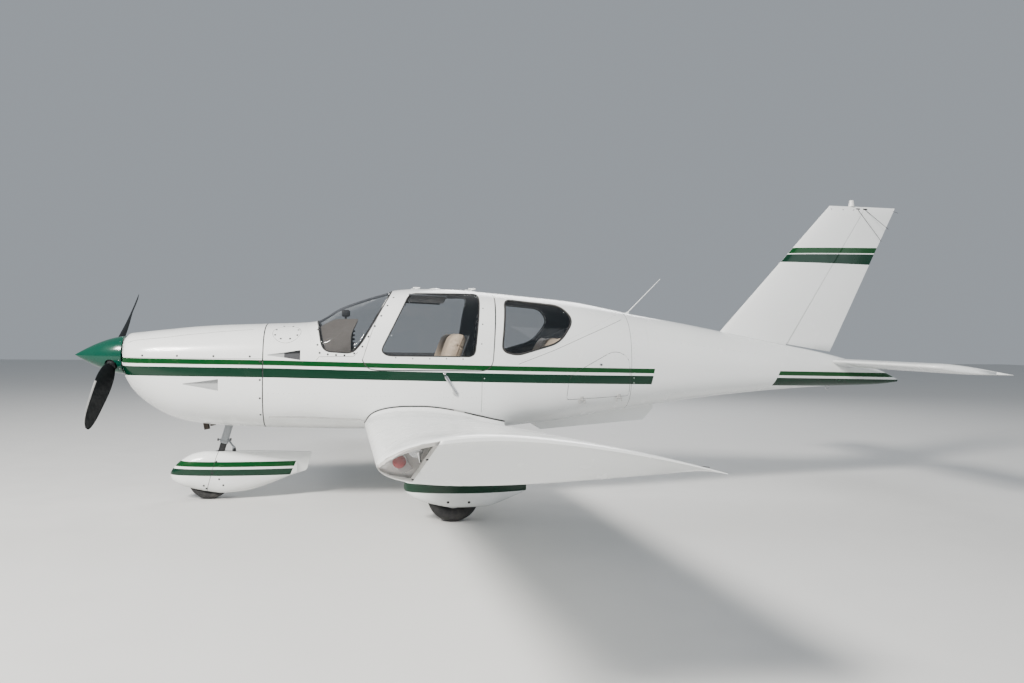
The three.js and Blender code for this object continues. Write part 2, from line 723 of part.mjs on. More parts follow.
// Cuts a hinged surface from a solid. line gives two points on its hinge, ends lie across
// the hinge, radii are those of its rounded nose, and brackets are shares of its span.
function hingedSurface(whole, line, radii, brackets, gap = SEAM) {
  const [start, end] = line;
  const along = end.clone().sub(start);
  const span = along.length();
  along.normalize();
  const rear = new THREE.Vector3(1, 0, 0);
  rear.addScaledVector(along, -rear.dot(along)).normalize();
  const across = new THREE.Vector3().crossVectors(along, rear).normalize();
  const at = (a, r, c) => start.clone().addScaledVector(along, a)
    .addScaledVector(rear, r).addScaledVector(across, c);
  const block = (a0, a1, r0, r1, c) => loft([a0, a1].map((a) => [
    at(a, r0, -c), at(a, r1, -c), at(a, r1, c), at(a, r0, c),
  ]));
  const nose = (grow, over) => bar(
    at(-over, 0, 0).toArray(),
    at(span + over, 0, 0).toArray(),
    radii[0] + grow,
    radii[1] + grow,
    24,
  );
  const keep = nose(0, 0).add(block(0, span, 0, 1200, 400));
  let cove = nose(gap, gap);
  for (const share of brackets) {
    const reach = radii[0] + share * (radii[1] - radii[0]);
    const a = share * span;
    cove = cove.subtract(block(a - 8, a + 8, -2 * reach, 0, 0.42 * reach));
  }
  cove = cove.add(nose(0.8, gap)).add(block(-gap, span + gap, 0, 1200, 400));
  return { moving: whole.intersect(keep), fixed: whole.subtract(cove) };
}

// The clear cover at a wing's tip, ahead of a slanted edge, in the wing's own frame
const LENS_EDGE = [[0, -500], [2301, -500], [2813, 500], [0, 500]];
const LENS_ROOT = 4730;

function lensRegion(side, grow) {
  return prism(inset(LENS_EDGE, -grow), sideRange(side, LENS_ROOT - grow, 5000));
}

function makeWing(name, side) {
  let wing = wingBlank(side);
  const line = (span, z) => span.map((out) => new THREE.Vector3(WING_HINGE, side * out, z));
  const HINGE_DROP = -14;
  const NOSE = [49, 49];
  const flap = hingedSurface(wing, line(FLAP_SPAN, HINGE_DROP), NOSE, [0.08, 0.5, 0.92]);
  wing = flap.fixed;
  const aileron = hingedSurface(wing, line(AILERON_SPAN, HINGE_DROP), NOSE, [0.1, 0.9]);
  wing = aileron.fixed;
  const lens = wing.intersect(lensRegion(side, 0));
  wing = wing.subtract(lensRegion(side, JOIN));
  const raise = (piece) => {
    const turned = surface(piece);
    turned.rotateX(side * DIHEDRAL);
    turned.translate(0, 0, WING_ROOT_Z);
    return solid(turned);
  };
  const clear = hull([1800, 4400], -JOIN);
  const pad = [JACK_PAD[0], side * JACK_PAD[1]];
  const root = raise(wing).add(bar([...pad, JACK_PAD[2] + 50], [...pad, JACK_PAD[2]], 24))
    .subtract(clear);
  mesh(`wing_${name}`, root, WHITE);
  mesh(`wingtip_lens_${name}`, raise(lens), LENS, 0.5);
  mesh(`flap_${name}`, raise(flap.moving), WHITE);
  mesh(`aileron_${name}`, raise(aileron.moving), WHITE);
  return root;
}

// Fin, rudder and tailplane

function makeFin() {
  const ringAt = (z, share) => {
    const t = (z - FIN_LOW.z) / (FIN_HIGH.z - FIN_LOW.z);
    const leading = THREE.MathUtils.lerp(FIN_LOW.leading, FIN_HIGH.leading, t);
    const trailing = THREE.MathUtils.lerp(FIN_LOW.trailing, FIN_HIGH.trailing, t);
    const { top, under } = aerofoil(trailing - leading, 0.088, 0);
    return [...top, ...under].map(([x, y]) => new THREE.Vector3(leading + x, y * share, z));
  };
  const blank = loft([[FIN_LOW.z, 1], [2720, 1], [2762, 0.75], [FIN_HIGH.z, 0.35]]
    .map(([z, share]) => ringAt(z, share)));
  const foot = new THREE.Vector3(FIN_LOW.hinge, 0, FIN_LOW.z);
  const head = new THREE.Vector3(FIN_HIGH.hinge, 0, FIN_HIGH.z);
  const line = [foot.clone().lerp(head, 0.055), foot.clone().lerp(head, 1.15)];
  const cut = hingedSurface(blank, line, [43, 25], [0.1, 0.46, 0.8]);
  const clear = hull([5000, 7300], -JOIN);
  const slope = [[6300, 1427], [7400, 1262], [7400, 900], [6300, 900]];
  const rudder = cut.moving.subtract(prism(slope, ALL));
  mesh('rudder', rudder, WHITE);
  mesh('fin', largest(cut.fixed.subtract(clear)), WHITE);
}

function largest(manifold) {
  return manifold.decompose().sort((a, b) => b.volume() - a.volume())[0];
}

function makeTail() {
  const ringAt = (out, shift, share) => {
    const { top, under } = aerofoil(STAB_CHORD - shift, 0.1, 0);
    return [...top, ...under].map(([x, z]) => new THREE.Vector3(x + shift, out, z * share));
  };
  const place = (manifold) => {
    const geometry = surface(manifold);
    geometry.translate(6951 - STAB_PIVOT[0], 0, 0);
    geometry.rotateY(STAB_INCIDENCE);
    geometry.translate(STAB_PIVOT[0], 0, STAB_PIVOT[1]);
    return solid(geometry);
  };
  const tubeEnds = [-STAB_ROOT - 40, STAB_ROOT + 40];
  let stabilator = bar(
    [STAB_PIVOT[0], tubeEnds[0], STAB_PIVOT[1]],
    [STAB_PIVOT[0], tubeEnds[1], STAB_PIVOT[1]],
    STAB_TUBE,
    STAB_TUBE,
    24,
  );
  for (const [name, side] of Object.entries(ports)) {
    const rings = [[STAB_ROOT, 0, 1], [1500, 0, 1], [1560, 18, 0.92], [STAB_HALF_SPAN, 70, 0.6]];
    const blank = loft(rings.map(([out, shift, share]) => ringAt(side * out, shift, share)));
    const x = STAB_CHORD - TAB_CHORD;
    const line = [STAB_ROOT + 6, STAB_HALF_SPAN + 6].map(
      (out) => new THREE.Vector3(x, side * out, 0));
    const cut = hingedSurface(blank, line, [14, 14], [0.1, 0.5, 0.9], 5);
    stabilator = stabilator.add(place(cut.fixed));
    mesh(`stabilator_tab_${name}`, place(cut.moving), WHITE);
  }
  mesh('stabilator', stabilator, WHITE);
}

function makeCone() {
  const space = hull([CONE_START - 1, 6850], CONE_WALL);
  let cone = hull([CONE_START, LENGTH]).subtract(space);
  const tubeEnds = [[STAB_PIVOT[0], -300, STAB_PIVOT[1]], [STAB_PIVOT[0], 300, STAB_PIVOT[1]]];
  cone = cone.subtract(bar(...tubeEnds, STAB_TUBE + 0.7, STAB_TUBE + 0.7, 24));
  const [padX, padY, padZ] = TAIL_PAD;
  cone = cone.add(bar([padX, padY, padZ + 25], TAIL_PAD, 18));
  mesh('tail_cone', cone, WHITE);
}

// Undercarriage

function makeWheel(name, { station, y, radius, width, rim }) {
  const half = width / 2;
  const tyre = [
    [rim + JOIN, -0.62 * half], [0.8 * radius, -half], [0.95 * radius, -0.78 * half],
    [radius, -0.2 * half], [radius, 0.2 * half], [0.95 * radius, 0.78 * half],
    [0.8 * radius, half], [rim + JOIN, 0.62 * half],
  ];
  const disc = [
    [AXLE_BORE, -0.5 * half], [0.8 * rim, -0.42 * half], [rim, -0.62 * half],
    [rim, 0.62 * half], [0.8 * rim, 0.42 * half], [AXLE_BORE, 0.5 * half],
  ];
  mesh(`${name}_tyre`, wheelRing(tyre, [station, y, radius], 24), RUBBER);
  mesh(`${name}_rim`, wheelRing(disc, [station, y, radius], 24), STEEL);
}

// Columns: station, top, bottom, half width
const MAIN_SPAT = [
  [2716, 292, 256, 14], [2744, 365, 222, 62], [2830, 447, 172, 108], [2960, 500, 134, 136],
  [3090, 507, 112, 144], [3220, 494, 110, 140], [3340, 462, 114, 122], [3500, 396, 158, 80],
  [3676, 300, 226, 12],
];
const NOSE_SPAT = [
  [778, 238, 200, 14], [802, 276, 170, 54], [872, 344, 128, 90], [975, 398, 94, 112],
  [1100, 418, 68, 122], [1220, 416, 52, 122], [1400, 396, 66, 106], [1620, 358, 128, 70],
  [1790, 332, 194, 30], [1842, 324, 214, 18],
];
const NOSE_SPAT_FIN = [
  [1240, 408], [1363, 415], [1666, 408], [1965, 397], [1931, 259], [1920, 234], [1785, 190],
  [1620, 200], [1300, 280],
];

function spatForm(rows, y, wall) {
  const STEPS = 12;
  const UPPER_POWER = 0.7;
  const LOWER_POWER = 0.5;
  return loft(rows.map(([station, top, bottom, half]) => {
    const ring = [];
    for (let i = 0; i < STEPS; i += 1) {
      const angle = (2 * Math.PI * i) / STEPS;
      const [c, s] = [Math.cos(angle), Math.sin(angle)];
      const [wide, tall] = [Math.max(half - wall, 2), Math.max((top - bottom) / 2 - wall, 2)];
      const power = s < 0 ? LOWER_POWER : UPPER_POWER;
      ring.push(new THREE.Vector3(
        station,
        y + wide * Math.sign(c) * Math.pow(Math.abs(c), power),
        (top + bottom) / 2 + tall * Math.sign(s) * Math.pow(Math.abs(s), power),
      ));
    }
    return ring;
  }));
}

function spat(outer, rows, { station, y, radius, width }) {
  const WALL = 6;
  const CLEAR = 12;
  const inner = rows.slice(1, -1);
  const mouth = radius + CLEAR;
  const wide = [y - width / 2 - CLEAR, y + width / 2 + CLEAR];
  return outer.subtract(spatForm(inner, y, WALL))
    .subtract(box([station - mouth, station + mouth], wide, [0, radius]));
}

function makeMainGear(name, side, wing) {
  const { station, radius } = MAIN_WHEEL;
  const y = side * MAIN_WHEEL.y;
  const legY = side * (MAIN_WHEEL.y - 103);
  const LEG_STATION = 2962;
  const axle = (size) => bar(
    [station, side * (MAIN_WHEEL.y - 117), radius],
    [station, side * (MAIN_WHEEL.y + 146), radius],
    size,
  );
  let leg = bar([LEG_STATION, legY, 800], [LEG_STATION, legY, 320], 24, 20)
    .add(bar([LEG_STATION, legY, 322], [station, legY, radius], 13))
    .add(axle(AXLE_RADIUS));
  const clear = surface(wing);
  clear.translate(0, 0, -JOIN);
  leg = leg.subtract(solid(clear)).subtract(wing);
  mesh(`main_leg_${name}`, lowest(leg), STEEL);
  const cover = spat(spatForm(MAIN_SPAT, y, 0), MAIN_SPAT, { ...MAIN_WHEEL, y })
    .subtract(bar([LEG_STATION, legY, 900], [LEG_STATION, legY, 330], 34))
    .subtract(axle(AXLE_RADIUS + JOIN));
  mesh(`main_spat_${name}`, largest(cover), WHITE);
  makeWheel(`main_${name}`, { ...MAIN_WHEEL, y });
}

function lowest(manifold) {
  const base = (piece) => piece.boundingBox().min[2];
  return manifold.decompose().sort((a, b) => base(a) - base(b))[0];
}

function makeNoseGear() {
  const [topX, topZ] = STRUT_TOP;
  const [endX, endZ] = STRUT_END;
  const lean = (topX - endX) / (topZ - endZ);
  const onStrut = (z) => [endX + (z - endZ) * lean, 0, z];
  const JOINT_Z = 480;
  const strut = bar(onStrut(860), onStrut(JOINT_Z), 33)
    .add(bar([onStrut(860)[0] - 30, 0, 850], [FIREWALL - JOIN, 0, 850], 24));
  mesh('nose_strut', strut, STEEL);
  const { station, radius } = NOSE_WHEEL;
  const axle = (size) => bar([station, -132, radius], [station, 132, radius], size);
  const CROWN_Z = 375;
  const CROWN_HALF = 7;
  const ARM = { station: 1150, y: 76, radius: 8 };
  const FIN_HALF = 12;
  let fork = bar(onStrut(JOINT_Z - JOIN), onStrut(CROWN_Z), 28)
    .add(box([1118, 1208], [-ARM.y, ARM.y], [CROWN_Z - CROWN_HALF, CROWN_Z + CROWN_HALF]))
    .add(axle(AXLE_RADIUS));
  for (const side of Object.values(ports)) {
    const arm = bar([ARM.station, side * ARM.y, CROWN_Z], [station, side * ARM.y, radius], ARM.radius);
    fork = fork.add(arm);
  }
  mesh('nose_fork', fork, STEEL);
  const outer = spatForm(NOSE_SPAT, 0, 0).add(prism(NOSE_SPAT_FIN, [-FIN_HALF, FIN_HALF]));
  const cover = spat(outer, NOSE_SPAT, NOSE_WHEEL)
    .subtract(bar(onStrut(560), onStrut(386), 38))
    .subtract(axle(AXLE_RADIUS + JOIN));
  mesh('nose_spat', largest(cover), WHITE);
  makeWheel('nose', NOSE_WHEEL);
}

// Small pieces on the outside

function makeFittings() {
  const whipFoot = [4878, 0, hullTop(4878, 0) + JOIN];
  const whip = bar(whipFoot, [4898, 0, whipFoot[2] + 16], 16, 8)
    .add(bar([4884, 0, whipFoot[2] + 8], [5211, 0, 2007], 5, 2.5, 8))
    .subtract(hull([4800, 5000], -JOIN));
  mesh('whip_antenna', whip, WHITE);
  mesh('beacon', bar([7225, 0, FIN_HIGH.z + JOIN], [7225, 0, 2843], 30, 20), LENS, 0.6);
  const STRIP = [[3960, 760], [3960, 625], [4045, 575], [5046, 659], [5142, 761], [5150, 860]];
  const strip = prism(STRIP, [-12, 12]);
  mesh('belly_strip', lowest(strip.subtract(hull([3900, 5300], -JOIN))), WHITE);
}

const tub = makeCabin();
makeTub(tub);
makeSeats();
makeCowl();
makeEngine();
makePropeller();
for (const [name, side] of Object.entries(ports)) {
  const wing = makeWing(name, side);
  makeMainGear(name, side, wing);
}
makeNoseGear();
makeCone();
makeFin();
makeTail();
makeFittings();

const aircraft = new THREE.Group();
for (const piece of meshes) {
  piece.position.x = -LENGTH / 2;
  aircraft.add(piece);
}

export default aircraft;
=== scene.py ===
import math

import bpy
import numpy as np
from mathutils import Matrix, Vector
from mathutils.bvhtree import BVHTree
from mathutils.interpolate import poly_3d_calc


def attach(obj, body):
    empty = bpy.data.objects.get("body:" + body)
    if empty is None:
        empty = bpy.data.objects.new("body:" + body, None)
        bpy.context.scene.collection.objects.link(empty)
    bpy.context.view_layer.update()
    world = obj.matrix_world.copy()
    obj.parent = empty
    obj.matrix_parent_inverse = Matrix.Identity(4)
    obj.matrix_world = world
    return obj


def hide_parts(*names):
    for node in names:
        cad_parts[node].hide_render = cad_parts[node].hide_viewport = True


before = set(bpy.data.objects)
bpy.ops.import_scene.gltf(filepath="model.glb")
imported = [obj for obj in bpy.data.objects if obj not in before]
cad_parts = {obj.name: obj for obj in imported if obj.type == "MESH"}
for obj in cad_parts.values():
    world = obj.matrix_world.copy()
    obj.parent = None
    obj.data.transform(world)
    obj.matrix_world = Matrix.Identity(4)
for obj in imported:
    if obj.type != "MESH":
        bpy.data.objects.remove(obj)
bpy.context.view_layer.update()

LENGTH = 7.749
PORT = -1
STARBOARD = 1
SIDES = {"left": PORT, "right": STARBOARD}
# further out than any piece
BEYOND = 9


def aft(station):
    return station - LENGTH / 2


# work at the bench


def clear_bench():
    if bpy.context.object and bpy.context.object.mode != "OBJECT":
        bpy.ops.object.mode_set(mode="OBJECT")
    bpy.ops.object.select_all(action="DESELECT")


def take(piece):
    clear_bench()
    piece.select_set(True)
    bpy.context.view_layer.objects.active = piece
    return piece


def settle(piece, name=None):
    """Puts the piece's place and turn into its mesh."""
    take(piece)
    bpy.ops.object.transform_apply(location=True, rotation=True, scale=True)
    if name:
        piece.name = name
    return piece


def scrap(*pieces):
    for piece in pieces:
        bpy.data.objects.remove(piece)


def edit(piece, *steps, kind="VERT"):
    """Runs edit-mode steps on the whole of a piece."""
    take(piece)
    bpy.ops.object.mode_set(mode="EDIT")
    bpy.ops.mesh.select_mode(type=kind)
    bpy.ops.mesh.select_all(action="SELECT")
    for step, settings in steps:
        step(**settings)
    bpy.ops.object.mode_set(mode="OBJECT")
    return piece


FACE_OUTWARDS = (bpy.ops.mesh.normals_make_consistent, dict(inside=False))


def modify(piece, kind, **settings):
    take(piece)
    change = piece.modifiers.new(kind.lower(), kind)
    for key, value in settings.items():
        setattr(change, key, value)
    bpy.ops.object.modifier_apply(modifier=change.name)
    return piece


def boolean(piece, tool, way, keep=False):
    modify(piece, "BOOLEAN", operation=way, object=tool, solver="MANIFOLD",
           material_mode="TRANSFER")
    if not keep:
        scrap(tool)
    return piece


def cut(piece, tool, keep=False):
    return boolean(piece, tool, "DIFFERENCE", keep)


def within(piece, tool):
    return boolean(piece, tool, "INTERSECT")


def copy_of(piece, name):
    twin = piece.copy()
    twin.data = piece.data.copy()
    twin.name = name
    bpy.context.collection.objects.link(twin)
    return twin


def join(name, *pieces):
    clear_bench()
    for piece in pieces:
        piece.select_set(True)
    bpy.context.view_layer.objects.active = pieces[0]
    bpy.ops.object.join()
    pieces[0].name = name
    return pieces[0]


def soften(piece, degrees=32):
    take(piece)
    bpy.ops.object.shade_smooth_by_angle(angle=math.radians(degrees))
    return piece


def round_edges(piece, width, segments=3, degrees=35):
    return modify(piece, "BEVEL", width=width, segments=segments, limit_method="ANGLE",
                  angle_limit=math.radians(degrees), harden_normals=False)


def block(name, low, high, bevel=0.0, segments=3):
    clear_bench()
    low, high = Vector(low), Vector(high)
    bpy.ops.mesh.primitive_cube_add(size=1, location=(low + high) / 2)
    piece = bpy.context.object
    piece.scale = high - low
    settle(piece, name)
    if bevel:
        edit(piece, (bpy.ops.mesh.bevel, dict(offset=bevel, segments=segments)), kind="EDGE")
        soften(piece)
    return piece


def slice_between(name, y0, y1, z0, z1):
    """A block longer than the aircraft, between two sides and two heights."""
    return block(name, (-BEYOND, y0, z0), (BEYOND, y1, z1))


def rod(name, start, end, radius, end_radius=None, sides=24, bevel=0.0):
    """A round bar between two points."""
    clear_bench()
    start, end = Vector(start), Vector(end)
    run = end - start
    bpy.ops.mesh.primitive_cone_add(
        vertices=sides, radius1=radius, radius2=radius if end_radius is None else end_radius,
        depth=run.length, location=(start + end) / 2,
        rotation=run.to_track_quat("Z", "Y").to_euler(),
    )
    piece = settle(bpy.context.object, name)
    if bevel:
        round_edges(piece, bevel, 2)
    return soften(piece)


def ball(name, centre, radius, squash=(1, 1, 1), segments=24, rings=12):
    clear_bench()
    bpy.ops.mesh.primitive_uv_sphere_add(
        segments=segments, ring_count=rings, radius=radius, location=centre)
    piece = bpy.context.object
    piece.scale = squash
    return soften(settle(piece, name), 60)


def mesh_piece(name, points, faces, edges=()):
    shape = bpy.data.meshes.new(name)
    shape.from_pydata([tuple(p) for p in points], edges, faces)
    shape.update()
    piece = bpy.data.objects.new(name, shape)
    bpy.context.collection.objects.link(piece)
    return piece


def hoop(name, centre, radius, thick, sides=28):
    """A round wire ring that faces sideways."""
    clear_bench()
    bpy.ops.mesh.primitive_torus_add(
        major_radius=radius, minor_radius=thick, major_segments=sides, minor_segments=10,
        location=centre, rotation=(math.pi / 2, 0, 0))
    return soften(settle(bpy.context.object, name), 60)


def ring_faces(first, steps, count):
    """Faces of a skin through rings of points, closed by flat ends."""
    faces = []
    for r in range(steps - 1):
        for i in range(count):
            a = first + r * count + i
            b = first + r * count + (i + 1) % count
            faces.append((a, b, b + count, a + count))
    last = first + (steps - 1) * count
    return faces + [tuple(reversed(range(first, first + count))), tuple(range(last, last + count))]


def loft(name, rings):
    """A closed skin through rings of equal counts."""
    rings = np.asarray(rings, float)
    piece = mesh_piece(name, rings.reshape(-1, 3), ring_faces(0, *rings.shape[:2]))
    edit(piece, FACE_OUTWARDS, kind="FACE")
    return soften(piece)


def prism(name, outline, y0, y1):
    """An outline of (station, height) corners run from one side distance to another."""
    near = [(aft(s), y0, z) for s, z in outline]
    far = [(aft(s), y1, z) for s, z in outline]
    return loft(name, [near, far])


def turned(name, profile, centre, steps=64):
    """A closed profile of (radius, offset) pairs spun about the Y line through a centre."""
    count = len(profile)
    piece = mesh_piece(name, [(r, y, 0) for r, y in profile], [],
                       [(i, (i + 1) % count) for i in range(count)])
    edit(piece,
         (bpy.ops.mesh.spin, dict(steps=steps, angle=math.tau, center=(0, 0, 0), axis=(0, 1, 0))),
         (bpy.ops.mesh.select_all, dict(action="SELECT")),
         (bpy.ops.mesh.remove_doubles, dict(threshold=1e-5)), FACE_OUTWARDS)
    piece.location = centre
    return soften(settle(piece, name))


def rounded(corners, steps=8):
    """Corners are (station, height, reach): each becomes a short curve of that reach."""
    points = []
    for i, (s, z, reach) in enumerate(corners):
        corner = Vector((s, z))
        start = Vector(corners[i - 1][:2]) - corner
        end = Vector(corners[(i + 1) % len(corners)][:2]) - corner
        start *= min(reach / start.length, 0.45)
        end *= min(reach / end.length, 0.45)
        for k in range(steps + 1):
            t = k / steps
            points.append(tuple(corner + start * (1 - t) ** 2 + end * t ** 2))
    return points


def inset(outline, distance):
    """The outline drawn in by a distance, or let out where it is negative."""
    pts = np.array(outline, float)
    before, after = np.roll(pts, 1, 0), np.roll(pts, -1, 0)
    area = (pts[:, 0] * after[:, 1] - after[:, 0] * pts[:, 1]).sum()
    along = (pts - before) / np.linalg.norm(pts - before, axis=1)[:, None]
    onward = (after - pts) / np.linalg.norm(after - pts, axis=1)[:, None]
    across = np.stack([-along[:, 1] - onward[:, 1], along[:, 0] + onward[:, 0]], 1)
    across /= np.linalg.norm(across, axis=1)[:, None]
    spread = (across * np.stack([-along[:, 1], along[:, 0]], 1)).sum(1).clip(0.5)
    side = 1 if area > 0 else -1
    return [tuple(p) for p in pts + across * (side * distance / spread)[:, None]]


SAME_SKIN = 0.0006
SAME_WAY = 0.88


def keep_shading(piece, source):
    """Gives a cut piece the smooth shading of the uncut skin it came from."""
    shape, skin = piece.data, source.data
    found = [None] * len(shape.vertices)
    tree = BVHTree.FromPolygons(
        [v.co for v in skin.vertices], [tuple(p.vertices) for p in skin.polygons])
    for v in shape.vertices:
        place, _, index, _ = tree.find_nearest(v.co, SAME_SKIN)
        if place is None or len(skin.polygons[index].vertices) > 4:
            continue
        corners = skin.polygons[index].vertices
        shares = poly_3d_calc([skin.vertices[c].co for c in corners], place)
        normal = Vector()
        for c, share in zip(corners, shares):
            normal += skin.vertices[c].normal * share
        found[v.index] = normal.normalized()
    normals = [c.vector.copy() for c in shape.corner_normals]
    for face in shape.polygons:
        for k in face.loop_indices:
            normal = found[shape.loops[k].vertex_index]
            if normal is None:
                continue
            match = face.normal.dot(normal)
            if match > SAME_WAY:
                normals[k] = normal
            elif match < -SAME_WAY:
                normals[k] = -normal
    shape.normals_split_custom_set(normals)
    return piece


def paint_faces(piece, finish, wanted):
    """Gives the faces that pass a test another finish."""
    piece.data.materials.append(finish)
    index = len(piece.data.materials) - 1
    for face in piece.data.polygons:
        if wanted(face.center, face.normal):
            face.material_index = index
    return piece


def dress(piece, finish):
    """Puts a finish on a piece, before any others."""
    finishes = piece.data.materials
    if len(finishes):
        finishes[0] = finish
    else:
        finishes.append(finish)
    return piece


def fit(piece, body, finish, stands_for=()):
    """Finishes a piece, lets it ride on a body and stand for its plain solids."""
    dress(piece, finish)
    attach(piece, body)
    if stands_for:
        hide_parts(*stands_for)
    return piece


def fix(piece, finish, stands_for=()):
    """Finishes a piece that stays on the airframe."""
    return fit(piece, "airframe", finish, stands_for)


# finishes


class Finish:
    """A procedural finish: the shader's own settings, then nodes that vary it."""

    def __init__(self, name, colour, rough, metal=0.0, **sockets):
        self.made = bpy.data.materials.new(name)
        self.made.use_nodes = True
        self.tree = self.made.node_tree
        self.shader = self.tree.nodes["Principled BSDF"]
        self.colour = colour
        self.base = None
        self.shader.inputs["Base Color"].default_value = (*colour, 1)
        self.shader.inputs["Roughness"].default_value = rough
        self.shader.inputs["Metallic"].default_value = metal
        for key, value in sockets.items():
            self.shader.inputs[key.replace("_", " ")].default_value = value
        self.place = self.add("ShaderNodeTexCoord").outputs["Object"]
        split = self.add("ShaderNodeSeparateXYZ", Vector=self.place)
        self.x, self.y, self.z = split.outputs

    def add(self, kind, settings=None, **links):
        made = self.tree.nodes.new(kind)
        for key, value in (settings or {}).items():
            setattr(made, key, value)
        for key, value in links.items():
            socket = made.inputs[int(key[1:]) if key[0] == "i" and key[1:].isdigit() else key]
            if isinstance(value, bpy.types.NodeSocket):
                self.tree.links.new(value, socket)
            else:
                socket.default_value = value
        return made

    def sum(self, way, a, b=0.0, c=0.0):
        return self.add("ShaderNodeMath", {"operation": way}, i0=a, i1=b, i2=c).outputs[0]

    def ramp(self, value, low, high, start=0.0, end=1.0):
        made = self.add(
            "ShaderNodeMapRange", Value=value,
            **{"From Min": low, "From Max": high, "To Min": start, "To Max": end})
        return made.outputs["Result"]

    def cloud(self, scale, detail=3.0, stretch=None):
        place = self.place
        if stretch:
            place = self.add("ShaderNodeMapping", Vector=place, Scale=stretch).outputs[0]
        made = self.add("ShaderNodeTexNoise", Vector=place, Scale=scale, Detail=detail,
                        Roughness=0.55)
        return made.outputs["Fac"]

    def cells(self, scale):
        return self.add("ShaderNodeTexVoronoi", Vector=self.place, Scale=scale).outputs["Distance"]

    def cover(self, share, colour):
        """Lays another colour over the base where share is 1."""
        made = self.add("ShaderNodeMix", {"data_type": "RGBA"}, Factor=share)
        if self.base is None:
            made.inputs[6].default_value = (*self.colour, 1)
        else:
            self.tree.links.new(self.base, made.inputs[6])
        made.inputs[7].default_value = (*colour, 1)
        self.base = made.outputs[2]
        self.tree.links.new(self.base, self.shader.inputs["Base Color"])
        return self

    def mottle(self, cloud, low, high, most, shade):
        """Patches of the base colour times a shade, up to a share."""
        colour = tuple(min(1, shade * c) for c in self.colour)
        return self.cover(self.ramp(self.cloud(*cloud), low, high, 0.0, most), colour)

    def gloss(self, cloud, rough, rougher, low=0.3, high=0.7, stretch=None):
        """Roughness that wanders between two values."""
        value = self.ramp(self.cloud(*cloud, stretch=stretch), low, high, rough, rougher)
        self.tree.links.new(value, self.shader.inputs["Roughness"])
        return self

    def relief(self, height, depth, strength=1.0):
        made = self.add("ShaderNodeBump", Strength=strength, Distance=depth, Height=height)
        old = self.shader.inputs["Normal"].links
        if old:
            self.tree.links.new(old[0].from_socket, made.inputs["Normal"])
        self.tree.links.new(made.outputs[0], self.shader.inputs["Normal"])
        return self

    def between(self, value, low, high):
        over = self.sum("GREATER_THAN", value, low)
        under = self.sum("LESS_THAN", value, high)
        return self.sum("MULTIPLY", over, under)


WHITE = (0.80, 0.815, 0.81)
BRIGHT_GREEN = (0.0, 0.046, 0.007)
DARK_GREEN = (0.0, 0.024, 0.010)


def paint(name, colour=WHITE):
    """Gloss paint on sheet metal, with faint unevenness and a little dulling."""
    made = Finish(name, colour, 0.22, Coat_Weight=0.2, Coat_Roughness=0.06,
                  Specular_IOR_Level=0.32)
    made.mottle((2.2, 4), 0.35, 0.75, 0.35, 0.93)
    made.gloss((9, 5), 0.16, 0.30)
    made.relief(made.cloud(3.0, 1.5, stretch=(1, 1, 1.6)), 0.006, 0.25)
    return made


def streaks(made, low, high, strength=0.35):
    """Faint darker streaks, stronger towards the underside."""
    lower_darkening = made.ramp(made.z, high, low, 0.0, strength)
    patch = made.ramp(made.cloud(5, 6, stretch=(0.5, 1, 2)), 0.4, 0.7)
    made.cover(made.sum("MULTIPLY", lower_darkening, patch), (0.45, 0.44, 0.41))
    return made


def hull_paint():
    """White with two green bands along the whole side, broken behind the baggage door."""
    made = streaks(paint("white_paint_with_bands"), 0.62, 0.95)
    front = made.sum("MULTIPLY_ADD", made.x, -0.0075, 1.20694)
    rear = made.sum("MULTIPLY_ADD", made.x, -0.0188, 1.18176)
    top = made.sum("MINIMUM", front, rear)
    drop = made.sum("SUBTRACT", top, made.z)
    forward_end = made.sum("MULTIPLY_ADD", made.z, 0.225, aft(5.008) - 1.166 * 0.225)
    aft_start = made.sum("MULTIPLY_ADD", made.z, 0.44, aft(6.346) - 1.141 * 0.44)
    shown = made.sum(
        "ADD", made.sum("LESS_THAN", made.x, forward_end),
        made.sum("GREATER_THAN", made.x, aft_start))
    for low, high, colour in ((0.0, 0.042, BRIGHT_GREEN), (0.065, 0.142, DARK_GREEN)):
        band = made.sum("MULTIPLY", shown, made.between(drop, low, high))
        made.cover(band, colour)
    return made.made


def fin_paint():
    """White with two bands across fin and rudder. Each has a lower and an upper edge, of
    (slope, height at the leading edge)."""
    made = paint("white_paint_fin")
    edges = [((0.029, 2.290), (0.029, 2.345), BRIGHT_GREEN),
             ((-0.004, 2.204), (0.028, 2.281), DARK_GREEN)]
    for low, high, colour in edges:
        rise = [made.sum("MULTIPLY_ADD", made.x, slope, height - slope * aft(6.52))
                for slope, height in (low, high)]
        made.cover(made.between(made.z, *rise), colour)
    return made.made


def spat_paint(name, bands, tilt=0.0, pivot=0.0, end=None):
    """White spat paint with green bands: (lowest, highest, colour) at the pivot's X, up to a
    slanted end line through two (station, height) points."""
    made = streaks(paint(name), 0.08, 0.35, 0.5)
    height = made.sum("MULTIPLY_ADD", made.x, -tilt, made.z)
    height = made.sum("ADD", height, tilt * pivot)
    ahead = None
    if end:
        s0, z0, s1, z1 = end
        slope = (s0 - s1) / (z0 - z1)
        ahead = made.sum("LESS_THAN", made.sum("MULTIPLY_ADD", made.z, -slope, made.x),
                         aft(s0) - slope * z0)
    for low, high, colour in bands:
        share = made.between(height, low, high)
        if ahead:
            share = made.sum("MULTIPLY", share, ahead)
        made.cover(share, colour)
    return made.made


def plain_paint(name, colour=WHITE):
    return paint(name, colour).made


def metal(name, colour, rough=0.35):
    made = Finish(name, colour, rough, 1.0)
    made.mottle((14, 5), 0.35, 0.7, 0.5, 0.72)
    made.gloss((30, 4), rough * 0.8, rough * 1.3)
    made.relief(made.cloud(60, 3), 0.0004, 0.4)
    return made.made


